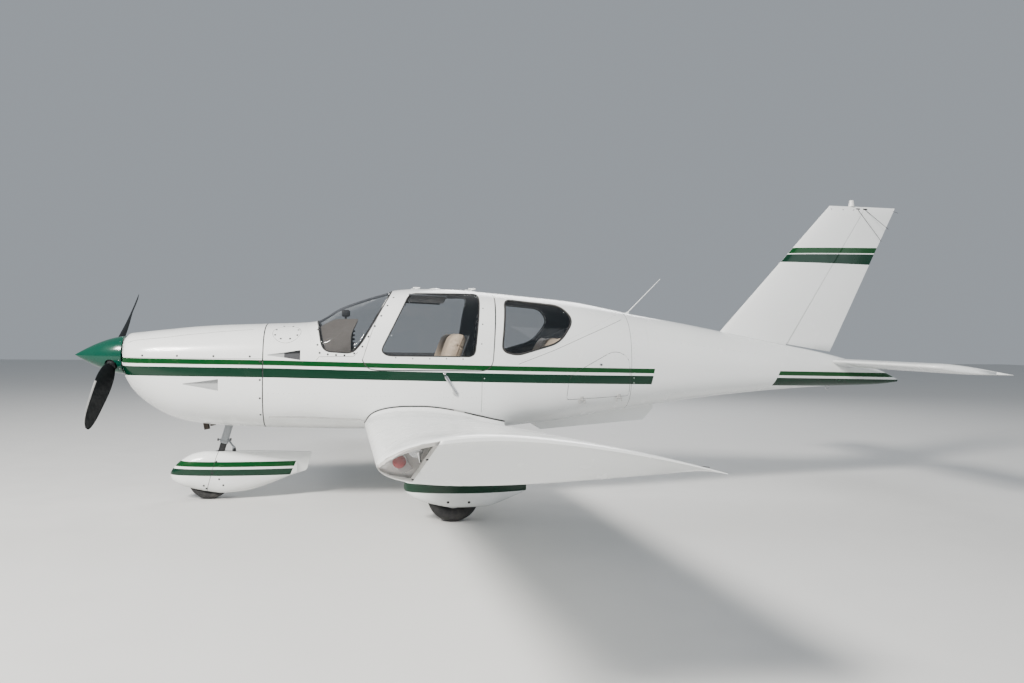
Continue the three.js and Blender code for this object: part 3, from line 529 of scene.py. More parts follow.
def enamel(name, colour, rough=0.4, shine=0.5):
    """Painted metal in a hard-worn place."""
    made = Finish(name, colour, rough, Specular_IOR_Level=shine)
    made.mottle((20, 6), 0.55, 0.75, 0.5, 0.6)
    made.gloss((25, 4), rough * 0.8, rough * 1.3)
    made.relief(made.cloud(150, 2), 0.0004, 0.3)
    return made.made


def rubber(name):
    """Black rubber with pale dust on it."""
    made = Finish(name, (0.018, 0.018, 0.019), 0.8)
    made.cover(made.ramp(made.cloud(18, 6), 0.45, 0.75, 0.0, 0.55), (0.07, 0.065, 0.058))
    made.gloss((40, 4), 0.68, 0.92)
    made.relief(made.cloud(220, 3), 0.0006, 0.5)
    return made.made


def moulded(name, colour, rough=0.6, grain=420):
    """Moulded plastic with a fine leather-like grain."""
    made = Finish(name, colour, rough)
    made.mottle((6, 4), 0.4, 0.7, 0.35, 0.8)
    made.gloss((30, 3), rough * 0.85, min(rough * 1.2, 1))
    made.relief(made.cells(grain), 0.0005, 0.35)
    return made.made


def glazing(name, colour, alpha):
    """Clear plastic, faintly scratched."""
    made = Finish(name, colour, 0.03, Alpha=alpha, IOR=1.49, Coat_Weight=1.0,
                  Coat_Roughness=0.02)
    made.gloss((60, 6), 0.02, 0.09, 0.35, 0.75, (1, 1, 5))
    made.made.surface_render_method = "BLENDED"
    return made.made


def hide(name, colour):
    """Upholstery leather: fine grain, creases and rubbed places."""
    made = Finish(name, colour, 0.5, Sheen_Weight=0.15, Sheen_Roughness=0.4)
    made.mottle((7, 5), 0.4, 0.75, 0.5, 0.72)
    made.mottle((30, 3), 0.55, 0.8, 0.3, 1.2)
    made.gloss((25, 3), 0.4, 0.625)
    made.relief(made.cells(340), 0.0006, 0.4)
    made.relief(made.cloud(16, 4, stretch=(1, 1, 2.5)), 0.004, 0.3)
    return made.made


def weave(name, colour):
    """Short-pile carpet or lining cloth."""
    made = Finish(name, colour, 0.95, Sheen_Weight=0.3, Sheen_Roughness=0.6)
    made.mottle((90, 3), 0.35, 0.7, 0.6, 0.6)
    made.mottle((4, 3), 0.4, 0.7, 0.3, 0.8)
    made.relief(made.cells(700), 0.001, 0.6)
    return made.made


HULL_PAINT = hull_paint()
WHITE_PAINT = plain_paint("white_paint")
FIN_PAINT = fin_paint()
GREEN_PAINT = plain_paint("green_spinner_paint", (0.0, 0.052, 0.032))
GLASS = glazing("window_plastic", (0.02, 0.026, 0.032), 0.15)
SEAL = rubber("window_seal_rubber")
TYRE = rubber("tyre_rubber")
LINING = weave("cabin_lining", (0.045, 0.050, 0.062))
CARPET = weave("floor_carpet", (0.05, 0.052, 0.058))
# near black for grooves, panel lines and the rudder's hollow: painted shade that stands for the
# dark in the seams
PAINTED_SEAM_SHADE = moulded("seam_shadow", (0.02, 0.02, 0.022), 0.8)
STEEL = metal("bare_steel", (0.50, 0.50, 0.50))
BRIGHT = metal("polished_fitting", (0.72, 0.72, 0.72), 0.15)
STRUT_PAINT = enamel("grey_strut_paint", (0.33, 0.35, 0.37))
BLACK_PAINT = enamel("black_paint", (0.02, 0.02, 0.022))
CLEAR = glazing("clear_lamp_cover", (0.80, 0.82, 0.83), 0.05)
LEATHER = hide("tan_leather", (0.66, 0.53, 0.40))
LEATHER_TRIM = hide("dark_tan_welt", (0.42, 0.32, 0.23))
SEAT_PLASTIC = moulded("black_moulding", (0.030, 0.032, 0.036))
DASH = moulded("grey_brown_dash", (0.105, 0.095, 0.088), 0.75)
PANEL_FACE = moulded("panel_face", (0.050, 0.050, 0.054), 0.55, 900)
DIAL = enamel("dial_black", (0.008, 0.008, 0.009), 0.2)
PALE_MARKS = enamel("pale_marks", (0.75, 0.75, 0.70), 0.5)
LEVER_BLUE = moulded("blue_knob", (0.02, 0.05, 0.30), 0.35)
LEVER_RED = moulded("red_knob", (0.45, 0.02, 0.015), 0.35)
VISOR = moulded("smoked_visor", (0.055, 0.058, 0.064), 0.5)
BLADE_PAINT = enamel("propeller_paint", (0.004, 0.005, 0.006), 0.5, 0.12)
WHEEL_ALLOY = metal("wheel_alloy", (0.56, 0.56, 0.56), 0.4)
RIVET_PAINT = plain_paint("rivet_paint", (0.62, 0.63, 0.63))
DARK_SCREW = enamel("dark_screw", (0.022, 0.022, 0.024), 0.55, 0.2)
PALE_TAPE = enamel("pale_edge_tape", (0.42, 0.42, 0.41), 0.45)
RED_LAMP = enamel("red_lamp", (0.26, 0.0, 0.003), 0.25, 0.2)
GREEN_LAMP = enamel("green_lamp", (0.002, 0.24, 0.07), 0.18, 0.3)
LAMP_PLATE = enamel("pale_lamp_plate", (0.86, 0.81, 0.77), 0.5)
RIM_TAPE = enamel("grey_rim_tape", (0.42, 0.41, 0.39), 0.5)
LAMP_WEDGE = enamel("grey_lamp_wedge", (0.33, 0.305, 0.30), 0.5)
# mid grey for the floors of the flush inlets: painted shade in the recess
INLET_SHADE_PAINT = plain_paint("inlet_painted_shade", (0.40, 0.41, 0.415))
BEACON_CAP = enamel("pale_beacon_cap", (0.74, 0.74, 0.72), 0.35)
CAST_IRON = enamel("rough_cast_metal", (0.10, 0.105, 0.11), 0.7)
HOT_STEEL = metal("heat_stained_steel", (0.085, 0.072, 0.064), 0.6)
NOSE_SPAT_PAINT = spat_paint("nose_spat_paint", [
    (0.288, 0.332, BRIGHT_GREEN), (0.212, 0.268, DARK_GREEN)], -0.022, aft(1.166),
    (1.832, 0.319, 1.785, 0.206))
MAIN_SPAT_PAINT = spat_paint("main_spat_paint", [
    (0.322, 0.350, BRIGHT_GREEN), (0.243, 0.310, DARK_GREEN)], -0.020, aft(2.75))


# the hull

# Columns: station, top, bottom, half width, height of the widest line, power of the upper
# curve, power of the lower curve
HULL = [
    (0.428, 1.405, 1.086, 0.208, 1.240, 2.4, 2.4),
    (0.446, 1.430, 1.058, 0.280, 1.236, 2.4, 2.4),
    (0.476, 1.436, 1.006, 0.345, 1.228, 2.5, 2.5),
    (0.534, 1.443, 0.922, 0.396, 1.215, 2.6, 2.6),
    (0.668, 1.459, 0.806, 0.440, 1.195, 2.6, 2.6),
    (0.819, 1.477, 0.724, 0.466, 1.180, 2.7, 2.7),
    (1.000, 1.497, 0.674, 0.490, 1.165, 2.7, 2.8),
    (1.240, 1.514, 0.650, 0.514, 1.150, 2.8, 3.0),
    (1.560, 1.528, 0.634, 0.544, 1.140, 2.9, 3.2),
    (1.900, 1.543, 0.627, 0.574, 1.120, 2.9, 3.5),
    (1.985, 1.552, 0.625, 0.582, 1.115, 2.9, 3.5),
    (2.209, 1.678, 0.621, 0.603, 1.105, 2.9, 3.6),
    (2.400, 1.752, 0.620, 0.617, 1.100, 3.0, 3.7),
    (2.560, 1.804, 0.620, 0.627, 1.100, 3.1, 3.8),
    (2.700, 1.842, 0.620, 0.634, 1.100, 3.3, 3.8),
    (2.900, 1.855, 0.620, 0.640, 1.100, 3.5, 3.8),
    (3.150, 1.857, 0.620, 0.645, 1.100, 3.5, 3.8),
    (3.500, 1.834, 0.624, 0.645, 1.105, 3.4, 3.8),
    (3.900, 1.803, 0.655, 0.625, 1.110, 3.2, 3.6),
    (4.280, 1.771, 0.695, 0.580, 1.120, 3.0, 3.3),
    (4.620, 1.716, 0.742, 0.520, 1.130, 2.8, 3.0),
    (4.945, 1.656, 0.787, 0.458, 1.140, 2.6, 2.8),
    (5.400, 1.584, 0.848, 0.382, 1.145, 2.5, 2.6),
    (5.900, 1.496, 0.903, 0.304, 1.145, 2.4, 2.5),
    (6.400, 1.405, 0.946, 0.232, 1.140, 2.4, 2.4),
    (6.900, 1.314, 0.976, 0.150, 1.130, 2.3, 2.4),
    (7.150, 1.256, 0.984, 0.116, 1.110, 2.3, 2.4),
    (7.400, 1.186, 0.990, 0.084, 1.080, 2.3, 2.4),
    (7.600, 1.122, 1.002, 0.056, 1.060, 2.2, 2.2),
    (7.749, 1.052, 1.020, 0.024, 1.036, 2.0, 2.0),
]
NOSE = HULL[0][0]
FIREWALL = 1.590
CONE_START = 4.945
FLOOR = 0.740
CABIN_WALL = 0.024


def flowing(xs, ys, at):
    """A smooth curve through points that never overshoots them."""
    h = np.diff(xs)
    d = np.diff(ys) / h
    slope = np.zeros(len(xs))
    slope[0], slope[-1] = d[0], d[-1]
    same = d[:-1] * d[1:] > 0
    a, b = 2 * h[1:] + h[:-1], h[1:] + 2 * h[:-1]
    safe = np.where(same, 1, 0)
    with np.errstate(divide="ignore", invalid="ignore"):
        mean = (a + b) / (a / d[:-1] + b / d[1:])
    slope[1:-1] = np.where(safe, mean, 0)
    i = np.clip(np.searchsorted(xs, at) - 1, 0, len(xs) - 2)
    t = (at - xs[i]) / h[i]
    return (
        ys[i] * (1 + 2 * t) * (1 - t) ** 2 + h[i] * slope[i] * t * (1 - t) ** 2
        + ys[i + 1] * t * t * (3 - 2 * t) + h[i] * slope[i + 1] * t * t * (t - 1)
    )


def row_at(table, value):
    """The other columns of a table, where its first column has a value."""
    table = np.asarray(table, float)
    return [float(flowing(table[:, 0], col, np.array([value]))[0]) for col in table.T[1:]]


QUARTER_STEPS = 18
NEAR_STEP = 0.004


class Body:
    """A round-cornered form through a table of sections along X."""

    def __init__(self, table):
        self.rows = np.array(table, float)

    def at(self, station):
        return row_at(self.rows, float(np.clip(station, self.rows[0, 0], self.rows[-1, 0])))

    def ring(self, station, wall=0.0):
        """Points round a section, evenly spread within each quarter."""
        top, bottom, half, widest, upper, lower = self.at(station)
        points = []
        for side_y, side_z in ((1, 1), (-1, 1), (-1, -1), (1, -1)):
            power = upper if side_z > 0 else lower
            reach = (top - widest if side_z > 0 else widest - bottom) - wall
            angle = np.linspace(0, math.pi / 2, 181)
            y = (half - wall) * np.cos(angle) ** (2 / power)
            z = reach * np.sin(angle) ** (2 / power)
            run = np.concatenate([[0], np.cumsum(np.hypot(np.diff(y), np.diff(z)))])
            even = np.linspace(0, run[-1], QUARTER_STEPS + 1)
            y, z = np.interp(even, run, y), np.interp(even, run, z)
            if side_y * side_z < 0:
                y, z = y[::-1], z[::-1]
            for k in range(QUARTER_STEPS):
                points.append((aft(station), side_y * y[k], widest + side_z * z[k]))
        return points

    def solid(self, name, start, end, wall=0.0):
        steps = max(2, int(math.ceil((end - start) / 0.045)))
        return loft(name, [self.ring(s, wall) for s in np.linspace(start, end, steps + 1)])

    def sheet(self, name, start, end, outer, inner, over=0.01):
        """The form's shell between two depths, open at its ends."""
        core = self.solid("core", start - over, end + over, inner)
        return cut(self.solid(name, start, end, outer), core)

    def half(self, station, z):
        """Half the width at a height."""
        top, bottom, half, widest, upper, lower = self.at(station)
        over = z > widest
        share = (z - widest) / (top - widest) if over else (widest - z) / (widest - bottom)
        power = upper if over else lower
        return half * max(0.0, 1 - min(1.0, share) ** power) ** (1 / power)

    def top(self, station, y=0.0):
        top, _, half, widest, upper, _ = self.at(station)
        return widest + (top - widest) * max(0.0, 1 - (abs(y) / half) ** upper) ** (1 / upper)

    def reach(self, station, z):
        """The distance of the skin at a station and height from the door's hinge line."""
        return math.hypot(self.half(station, z) - HINGE_Y, HINGE_Z - z)

    def side(self, station, z, side):
        """The place and outward direction on the skin at a station and height."""
        step = NEAR_STEP
        place = Vector((aft(station), side * self.half(station, z), z))
        widening = self.half(station + step, z) - self.half(station - step, z)
        leaning = self.half(station, z + step) - self.half(station, z - step)
        along = Vector((2 * step, side * widening, 0))
        up = Vector((0, side * leaning, 2 * step))
        normal = along.cross(up).normalized() * -side
        return place, normal


hull = Body(HULL)


# cabin shell, doors, windows

WINDSCREEN = [
    (1.985, 1.680, 0.01), (2.030, 1.500, 0.05), (2.072, 1.300, 0.07), (2.315, 1.284, 0.06),
    (2.392, 1.374, 0.05), (2.690, 1.900, 0.01),
]
REAR_WINDOW = [
    (3.612, 1.760, 0.06), (3.566, 1.312, 0.06), (3.700, 1.278, 0.06), (4.080, 1.390, 0.09),
    (4.222, 1.588, 0.09), (4.120, 1.716, 0.08),
]
DOOR_WINDOW = [
    (2.790, 1.800, 0.06), (2.546, 1.308, 0.05), (2.600, 1.266, 0.05), (3.332, 1.264, 0.06),
    (3.388, 1.768, 0.06), (3.370, 1.806, 0.03),
]
DOOR_EDGE = [
    (2.393, 1.240, 0.02), (2.440, 1.165, 0.06), (2.510, 1.150, 0.05), (3.425, 1.148, 0.06),
    (3.484, 1.196, 0.06), (3.524, 1.783, 0.02),
]
BAGGAGE_DOOR = [
    (4.152, 0.894, 0.03), (4.166, 1.100, 0.08), (4.600, 1.326, 0.09), (4.742, 1.262, 0.08),
    (4.751, 0.920, 0.03),
]
CABIN_SPLIT = [
    (1.925, 2.0), (1.925, 1.505), (2.080, 1.235), (2.350, 1.100), (3.610, 1.100),
    (3.730, 1.225), (4.700, 1.660), (4.700, 2.0),
]
HINGE_Y = 0.130
HINGE_Z = 1.866
OUTSIDE = 0.9
INNER_WALL = 0.018
DOOR_GAP = 0.0045


def side_prism(name, outline, side, near=0.2):
    return prism(name, outline, *sorted((side * near, side * OUTSIDE)))


def door_reaches(head):
    """A door's edge as (station, distance from the hinge line), with its head's distance."""
    low = [(s, hull.reach(s, z)) for s, z in rounded(DOOR_EDGE)[5:-5]]
    return [(2.714, head)] + low + [(3.526, head)]


def door_region(side, grow, inboard):
    """What a cabin door fills, bounded by arcs about its hinge line."""
    ring = inset(door_reaches(0.008), -grow)
    rings = []
    for degrees in range(-20, 101, 2):
        turn = math.radians(degrees)
        rings.append([
            (aft(s), side * (HINGE_Y + max(r, 0.001) * math.cos(turn)),
             HINGE_Z - max(r, 0.001) * math.sin(turn)) for s, r in ring])
    region = loft("door_region", rings)
    y0, y1 = sorted((side * (HINGE_Y + inboard), side * OUTSIDE))
    return within(region, slice_between("door_bound", y0, y1, 0, 3))


def baggage_hinge_line():
    return [Vector((aft(s), -hull.half(s, z + 0.012) - 0.010, z))
            for s, z in ((4.150, 0.881), (4.750, 0.907))]


def baggage_region(grow):
    start, end = baggage_hinge_line()
    slant = (end.y - start.y) / (end.x - start.x)
    outline = inset(rounded(BAGGAGE_DOOR), -grow)
    rings = [
        [(aft(s) - slant * across, start.y + slant * (aft(s) - start.x) + across, z)
         for s, z in outline] for across in (-0.12, 0.20)]
    return loft("baggage_region", rings)


def skin_over(name, outline, outer, inner):
    """The hull's shell between two depths, a little longer than an outline."""
    stations = [s for s, _ in outline]
    return hull.sheet(name, min(stations) - 0.05, max(stations) + 0.05, outer, inner)


def pane(name, outline, side, near=0.2):
    """A curved window let into the skin: its outline drawn on the hull."""
    sheet = skin_over(name, outline, 0.002, 0.006)
    return within(sheet, side_prism("bound", inset(outline, 0.0015), side, near))


def seal(name, outline, side, wide, proud, near=0.2):
    """A rubber strip round a window, a little proud of the skin."""
    edging = skin_over(name, outline, -proud, 0.004)
    within(edging, side_prism("bound", inset(outline, -wide / 2), side, near))
    return cut(edging, side_prism("hole", inset(outline, wide / 2), side, near))


def glaze(window, glass, rubber_name, body, outline, side, source, wide, proud, near=0.2):
    """A window's pane in its rubber, standing for the window's plain solid."""
    clear = keep_shading(pane(glass, outline, side, near), source)
    fit(clear, body, GLASS, [window])
    fit(seal(rubber_name, outline, side, wide, proud, near), body, SEAL)


def is_inside(centre, normal):
    """Whether a face of the shell lies on its inner side, or is the floor."""
    top, bottom, half, widest, upper, lower = hull.at(centre.x + LENGTH / 2)
    over = centre.z > widest
    reach = (top - widest if over else widest - bottom) - INNER_WALL
    power = upper if over else lower
    share = (abs(centre.y) / (half - INNER_WALL)) ** power
    share += (abs(centre.z - widest) / reach) ** power
    return share < 1.02 or centre.z < FLOOR + 0.001 and normal.z > 0.9


def make_cabin():
    outer = hull.solid("outer_skin", NOSE, LENGTH)
    space = hull.solid("space", FIREWALL + 0.02, CONE_START - 0.03, CABIN_WALL)
    within(space, slice_between("over_floor", -3, 3, FLOOR, 3))
    body = hull.solid("cabin_body", FIREWALL + 0.0015, CONE_START - 0.0003)
    cut(body, space)
    roof = within(copy_of(body, "cabin_roof_skin"),
                  prism("over", inset(CABIN_SPLIT, 0.0006), -2, 2))
    tub = cut(copy_of(body, "tub_skin"), prism("over", CABIN_SPLIT, -2, 2))
    screen, rear, window = rounded(WINDSCREEN), rounded(REAR_WINDOW), rounded(DOOR_WINDOW)
    near = 0.016
    for name, side in SIDES.items():
        cut(roof, side_prism("screen_hole", screen, side, near))
        cut(roof, side_prism("rear_hole", rear, side))
        cut(roof, door_region(side, DOOR_GAP, 0.0))
        glaze(f"rear_window_{name}", f"rear_glass_{name}", f"rear_seal_{name}", "airframe", rear,
              side, outer, 0.016, 0.0015)

        door = within(copy_of(body, f"door_skin_{name}"), door_region(side, 0.0, 0.004))
        cut(door, side_prism("window_hole", window, side))
        keep_shading(door, outer)
        dress(door, HULL_PAINT)
        paint_faces(door, LINING, is_inside)
        fit(door, f"cabin_door_{name}", HULL_PAINT, [f"cabin_door_{name}"])
        glaze(f"door_window_{name}", f"door_glass_{name}", f"door_glass_seal_{name}",
              f"cabin_door_{name}", window, side, outer, 0.010, 0.0004)
        glaze(f"windscreen_{name}", f"windscreen_glass_{name}", f"windscreen_seal_{name}",
              "airframe", screen, side, outer, 0.010, 0.0006, near)
    dress(roof, HULL_PAINT)
    dress(tub, HULL_PAINT)
    cut(tub, baggage_region(0.004))
    groove_cabin(roof, tub)
    keep_shading(roof, outer)
    paint_faces(roof, LINING, is_inside)
    fix(roof, HULL_PAINT, ["cabin_roof"])

    keep_shading(tub, outer)
    paint_faces(tub, CARPET, is_inside)
    fix(tub, HULL_PAINT,
        ["fuselage_tub", "fuselage_side_left", "fuselage_side_right", "fuselage_aft",
         "fuselage_belly"])
    hatch = within(body, baggage_region(0.0))
    hatch.name = "baggage_door_skin"
    keep_shading(hatch, outer)
    dress(hatch, HULL_PAINT)
    paint_faces(hatch, LINING, is_inside)
    fit(hatch, "baggage_door", HULL_PAINT, ["baggage_door"])
    return outer


# tail cone

STAB_PIVOT = (7.140, 1.212)


def pivot_ends(out):
    """Two places on the tailplane's pivot line, at a distance to each side."""
    return [(aft(STAB_PIVOT[0]), side * out, STAB_PIVOT[1]) for side in SIDES.values()]


def make_cone(outer):
    cone = hull.solid("tail_cone_skin", CONE_START + 0.0003, LENGTH)
    cut(cone, hull.solid("space", CONE_START, 6.85, 0.008))
    cut(cone, rod("pivot_hole", *pivot_ends(0.3), 0.0257))
    keep_shading(cone, outer)
    fix(cone, HULL_PAINT, ["tail_cone"])


# cowling

THRUST_Z = 1.246
COWL_SPLIT = 1.236
COWL_GAP = 0.0024


def make_cowl(outer):
    shell = cut(hull.solid("cowl", NOSE, FIREWALL - 0.0015),
                hull.solid("space", NOSE + 0.02, FIREWALL + 0.001, 0.010))
    centre = (aft(NOSE) - 0.01, 0, THRUST_Z)
    cut(shell, rod("shaft_hole", centre, (aft(0.46), 0, THRUST_Z), 0.062, sides=48))
    for side in SIDES.values():
        start, end = ((aft(s), side * 0.248, 1.232) for s in (0.33, 0.56))
        cut(shell, rod("inlet", start, end, 0.062, 0.058, sides=48))
    lower = copy_of(shell, "cowl_lower_skin")
    upper = within(shell, slice_between("over", -2, 2, COWL_SPLIT, 3))
    upper.name = "cowl_upper_skin"
    within(lower, slice_between("under", -2, 2, 0, COWL_SPLIT - COWL_GAP))
    cut(lower, block("outlet", (aft(1.215), -0.12, 0.5), (aft(1.6), 0.12, 0.76)))
    dress(upper, HULL_PAINT)
    dress(lower, HULL_PAINT)
    groove_cowl(upper, lower)
    for piece, node in ((upper, "cowl_upper"), (lower, "cowl_lower")):
        keep_shading(piece, outer)
        fix(piece, HULL_PAINT, [node])


# strips, grooves and rows of small heads


def buttons(name, spots, radius, height, sides=10):
    """Low round heads in one piece, each from a place and its outward direction."""
    levels = ((radius, -0.0015), (radius, 0.35 * height), (0.82 * radius, 0.8 * height),
              (0.45 * radius, height))
    points, faces = [], []
    for place, normal in spots:
        turn = normal.to_track_quat("Z", "Y").to_matrix()
        faces += ring_faces(len(points), len(levels), sides)
        for reach, rise in levels:
            for k in range(sides):
                angle = math.tau * k / sides
                points.append(place + turn @ Vector(
                    (reach * math.cos(angle), reach * math.sin(angle), rise)))
    return soften(mesh_piece(name, points, faces), 60)


def strip(name, path, wide, low, high):
    """A flat bar laid along (place, outward direction) pairs, between two heights."""
    rings = []
    for i, (place, normal) in enumerate(path):
        before = path[max(i - 1, 0)][0]
        onward = path[min(i + 1, len(path) - 1)][0]
        across = normal.cross((onward - before).normalized()).normalized() * (wide / 2)
        rings.append([place + across + normal * high, place - across + normal * high,
                      place - across + normal * low, place + across + normal * low])
    return loft(name, rings)


GROOVE_DEPTH = 0.0015


def on_side(points, side):
    """Places and directions on the hull's side along a line of (station, height) corners."""
    run = []
    for start, end in zip(points, points[1:]):
        steps = max(1, int(math.dist(start, end) / 0.03))
        run += hull_spots(side, *np.linspace(start, end, steps + 1)[:-1])
    return run + hull_spots(side, points[-1])


def groove_with(tool, pieces):
    # the tool's near black goes onto the groove's faces: painted shade
    dress(tool, PAINTED_SEAM_SHADE)
    for piece in pieces:
        cut(piece, tool, keep=True)
    scrap(tool)


def groove(pieces, path, wide=0.003):
    """Cuts a shallow groove along a path into some pieces, its faces painted near black as painted
    shade.
    """
    groove_with(strip("groove", path, wide, -GROOVE_DEPTH, 0.004), pieces)


def ring_groove(pieces, station, wide, depth=GROOVE_DEPTH):
    """Cuts a shallow groove right round the hull, its faces painted near black as painted shade."""
    groove_with(hull.sheet("ring", station - wide / 2, station + wide / 2, -0.01, depth, wide / 2),
                pieces)


def scoop(piece, tip, rear, low, high, depth, side):
    """Cuts a flush air inlet: a wedge that deepens and widens from its tip to its rear edge,
    with a pad behind it so that the wall stays whole."""
    def corners(station, z0, z1, deep):
        lower, away = hull.side(station, z0, side)
        upper, _ = hull.side(station, z1, side)
        return [upper + away * 0.006, lower + away * 0.006, lower - away * deep,
                upper - away * deep]

    pad = hull.sheet("pad", tip[0] - 0.02, rear + 0.02, 0.003, depth + 0.006)
    y0, y1 = sorted((side * 0.3, side * OUTSIDE))
    boolean(piece, within(pad, slice_between("bound", y0, y1, low - 0.02, high + 0.02)), "UNION")
    tool = loft("wedge", [corners(tip[0], tip[1] - 0.004, tip[1] + 0.004, 0.0004),
                          corners((tip[0] + rear) / 2, (tip[1] + low) / 2, (tip[1] + high) / 2,
                                  0.5 * depth),
                          corners(rear, low, high, depth)])
    # the wedge's mid grey goes onto the inlet's faces: painted shade
    cut(piece, dress(tool, INLET_SHADE_PAINT))


def hull_spots(side, *places):
    return [hull.side(s, z, side) for s, z in places]


def row_of(start, end, pitch):
    """(station, height) places at an even pitch along a line."""
    return np.linspace(start, end, max(1, round(math.dist(start, end) / pitch)) + 1)


SCREEN_SCREWS = [
    (2.026, 1.480), (2.030, 1.353), (2.049, 1.287), (2.115, 1.275), (2.182, 1.270),
    (2.250, 1.268), (2.329, 1.285), (2.395, 1.342), (2.444, 1.425), (2.496, 1.513),
    (2.549, 1.601), (2.602, 1.690), (2.655, 1.762),
]
DOOR_SCREWS = [
    (2.669, 1.252), (2.809, 1.246), (2.951, 1.245), (3.091, 1.246), (3.231, 1.244),
    (3.390, 1.373), (3.400, 1.540), (3.410, 1.678),
]
COWL_SCREWS = [
    (1.572, 1.212), (1.572, 1.061), (1.572, 0.910), (1.572, 0.770), (0.639, 1.253),
    (0.915, 1.253), (1.202, 1.253), (1.490, 1.253),
]
RIVET_ROWS = [
    ((2.439, 1.051), (2.435, 0.898), 0.051), ((2.360, 0.931), (2.660, 0.931), 0.040),
    ((2.991, 0.918), (3.349, 0.918), 0.040), ((1.638, 0.950), (2.055, 0.950), 0.042),
    ((4.795, 0.900), (4.795, 1.480), 0.045), ((4.000, 0.800), (4.700, 0.850), 0.090),
    ((5.000, 0.930), (6.200, 0.985), 0.080), ((5.050, 1.420), (6.150, 1.290), 0.080),
    ((3.415, 1.080), (3.415, 0.820), 0.045),
]
LOOSE_RIVETS = [(2.265, 0.769), (2.368, 0.768), (2.978, 0.845), (3.003, 0.845),
                (3.282, 1.017), (3.225, 0.961)]
SILL = [(1.638, 0.752), (1.982, 0.750), (2.378, 0.731), (2.427, 0.712)]
PLATE_LINE = [(2.022, 1.224), (2.044, 1.255), (2.324, 1.260), (2.357, 1.295)]
ROOF_LINE = [(3.712, 1.203), (4.037, 1.326), (4.349, 1.459), (4.712, 1.604)]
ROUND_PANEL = (1.775, 1.453)


def groove_cabin(roof, tub):
    """Panel lines of the cabin, and the round access plate ahead of the windscreen."""
    for side in SIDES.values():
        groove([roof, tub], on_side(PLATE_LINE, side))
        groove([roof, tub], on_side(ROOF_LINE, side), 0.0035)
        groove([tub], on_side([(3.395, 1.110), (3.395, 0.790)], side))
        scoop(tub, (1.630, 1.266), 1.893, 1.226, 1.309, 0.028, side)
        centre, away = hull.side(*ROUND_PANEL, side)
        ring = cut(rod("disc", centre - away * 0.05, centre + away * 0.05, 0.1165, sides=64),
                   rod("core", centre - away * 0.06, centre + away * 0.06, 0.1140, sides=64))
        within(ring, hull.sheet("skin", 1.62, 1.93, -0.004, 0.0014))
        # the ring paints the groove round the plate near black: painted shade
        cut(tub, dress(ring, PAINTED_SEAM_SHADE))
    ring_groove([tub, roof], 4.770, 0.0035)
    ring_groove([tub], FIREWALL + 0.0045, 0.0065, 0.002)


def groove_cowl(upper, lower):
    """The shoulder lines and flush inlets of the cowling."""
    for side in SIDES.values():
        shoulder = []
        for station in np.linspace(0.50, 1.50, 26):
            y = 0.33 + 0.04 * min(1.0, (station - 0.5) / 0.3)
            shoulder.append(hull.side(station, hull.top(station, y), side))
        groove([upper], shoulder, 0.0035)
        scoop(lower, (0.961, 1.025), 1.240, 0.968, 1.066, 0.030, side)


def door_line():
    """A line just outside a cabin door's edge, as (station, height) places on the skin."""
    line = []
    for s, r in inset(door_reaches(0.060), -0.0040):
        low, high = 0.8, HINGE_Z - 0.02
        for _ in range(30):
            middle = (low + high) / 2
            low, high = (middle, high) if hull.reach(s, middle) > r else (low, middle)
        line.append((s, low))
    return line[1:-1]


def make_outside_heads():
    """Screws, rivets, sill strips, door seals, handles and the baggage lock along the hull."""
    frame_screws, rivets = [], []
    for side in SIDES.values():
        frame_screws += hull_spots(side, *SCREEN_SCREWS)
        frame_screws += hull_spots(side, *COWL_SCREWS)
        for start, end, pitch in RIVET_ROWS:
            rivets += hull_spots(side, *row_of(start, end, pitch))
        rivets += hull_spots(side, *LOOSE_RIVETS)
        centre, away = hull.side(*ROUND_PANEL, side)
        turn = away.to_track_quat("Z", "Y").to_matrix()
        for k in range(8):
            angle = math.tau * (k + 0.5) / 8
            near = centre + turn @ Vector((0.098 * math.cos(angle), 0.098 * math.sin(angle), 0))
            frame_screws.append(hull.side(near.x + LENGTH / 2, near.z, side))
    fix(buttons("hull_screws", frame_screws, 0.0085, 0.0016), DARK_SCREW)
    fix(buttons("hull_rivets", rivets, 0.0038, 0.0010, 8), RIVET_PAINT)
    for name, side in SIDES.items():
        fit(buttons(f"door_screws_{name}", hull_spots(side, *DOOR_SCREWS), 0.0055, 0.0014),
            f"cabin_door_{name}", DARK_SCREW)
        fix(strip(f"sill_strip_{name}", on_side(SILL, side), 0.014, -0.001, 0.0018), BRIGHT)
        fix(strip(f"door_seal_{name}", on_side(door_line(), side), 0.0068, -0.004, 0.0006), SEAL)
        make_handle(name, side)
    lock = hull.side(4.468, 1.199, PORT)
    fit(buttons("baggage_lock", [lock], 0.014, 0.0030, 24), "baggage_door", BRIGHT)
    fit(buttons("baggage_keyhole", [(lock[0] + lock[1] * 0.0026, lock[1])], 0.0075, 0.0016, 16),
        "baggage_door", BLACK_PAINT)


def make_handle(name, side):
    """A tapered chrome lever turning on a round boss, with its lock above."""
    pivot, away = hull.side(3.168, 0.961, side)
    tip, _ = hull.side(3.087, 1.097, side)
    boss = rod("boss", pivot - away * 0.002, pivot + away * 0.012, 0.024, 0.019, 32, 0.002)
    along = (tip - pivot).normalized()
    across = along.cross(away)
    rings = []
    for share, wide, lift in ((-0.10, 0.010, 0.013), (0.0, 0.0165, 0.014), (0.3, 0.0135, 0.016),
                              (0.7, 0.0125, 0.017), (0.95, 0.0135, 0.014), (1.05, 0.009, 0.010)):
        middle = pivot + (tip - pivot) * share + away * lift
        angles = [math.tau * k / 12 for k in range(12)]
        rings.append([middle + across * wide * math.cos(a) + away * 0.0042 * math.sin(a)
                      for a in angles])
    lever = loft("lever", rings)
    fix(join(f"door_handle_{name}", boss, soften(lever, 60)), BRIGHT)
    lock = hull.side(3.078, 1.121, side)
    fix(buttons(f"door_lock_{name}", [lock], 0.011, 0.0028, 24), BRIGHT)


# wings and tail surfaces

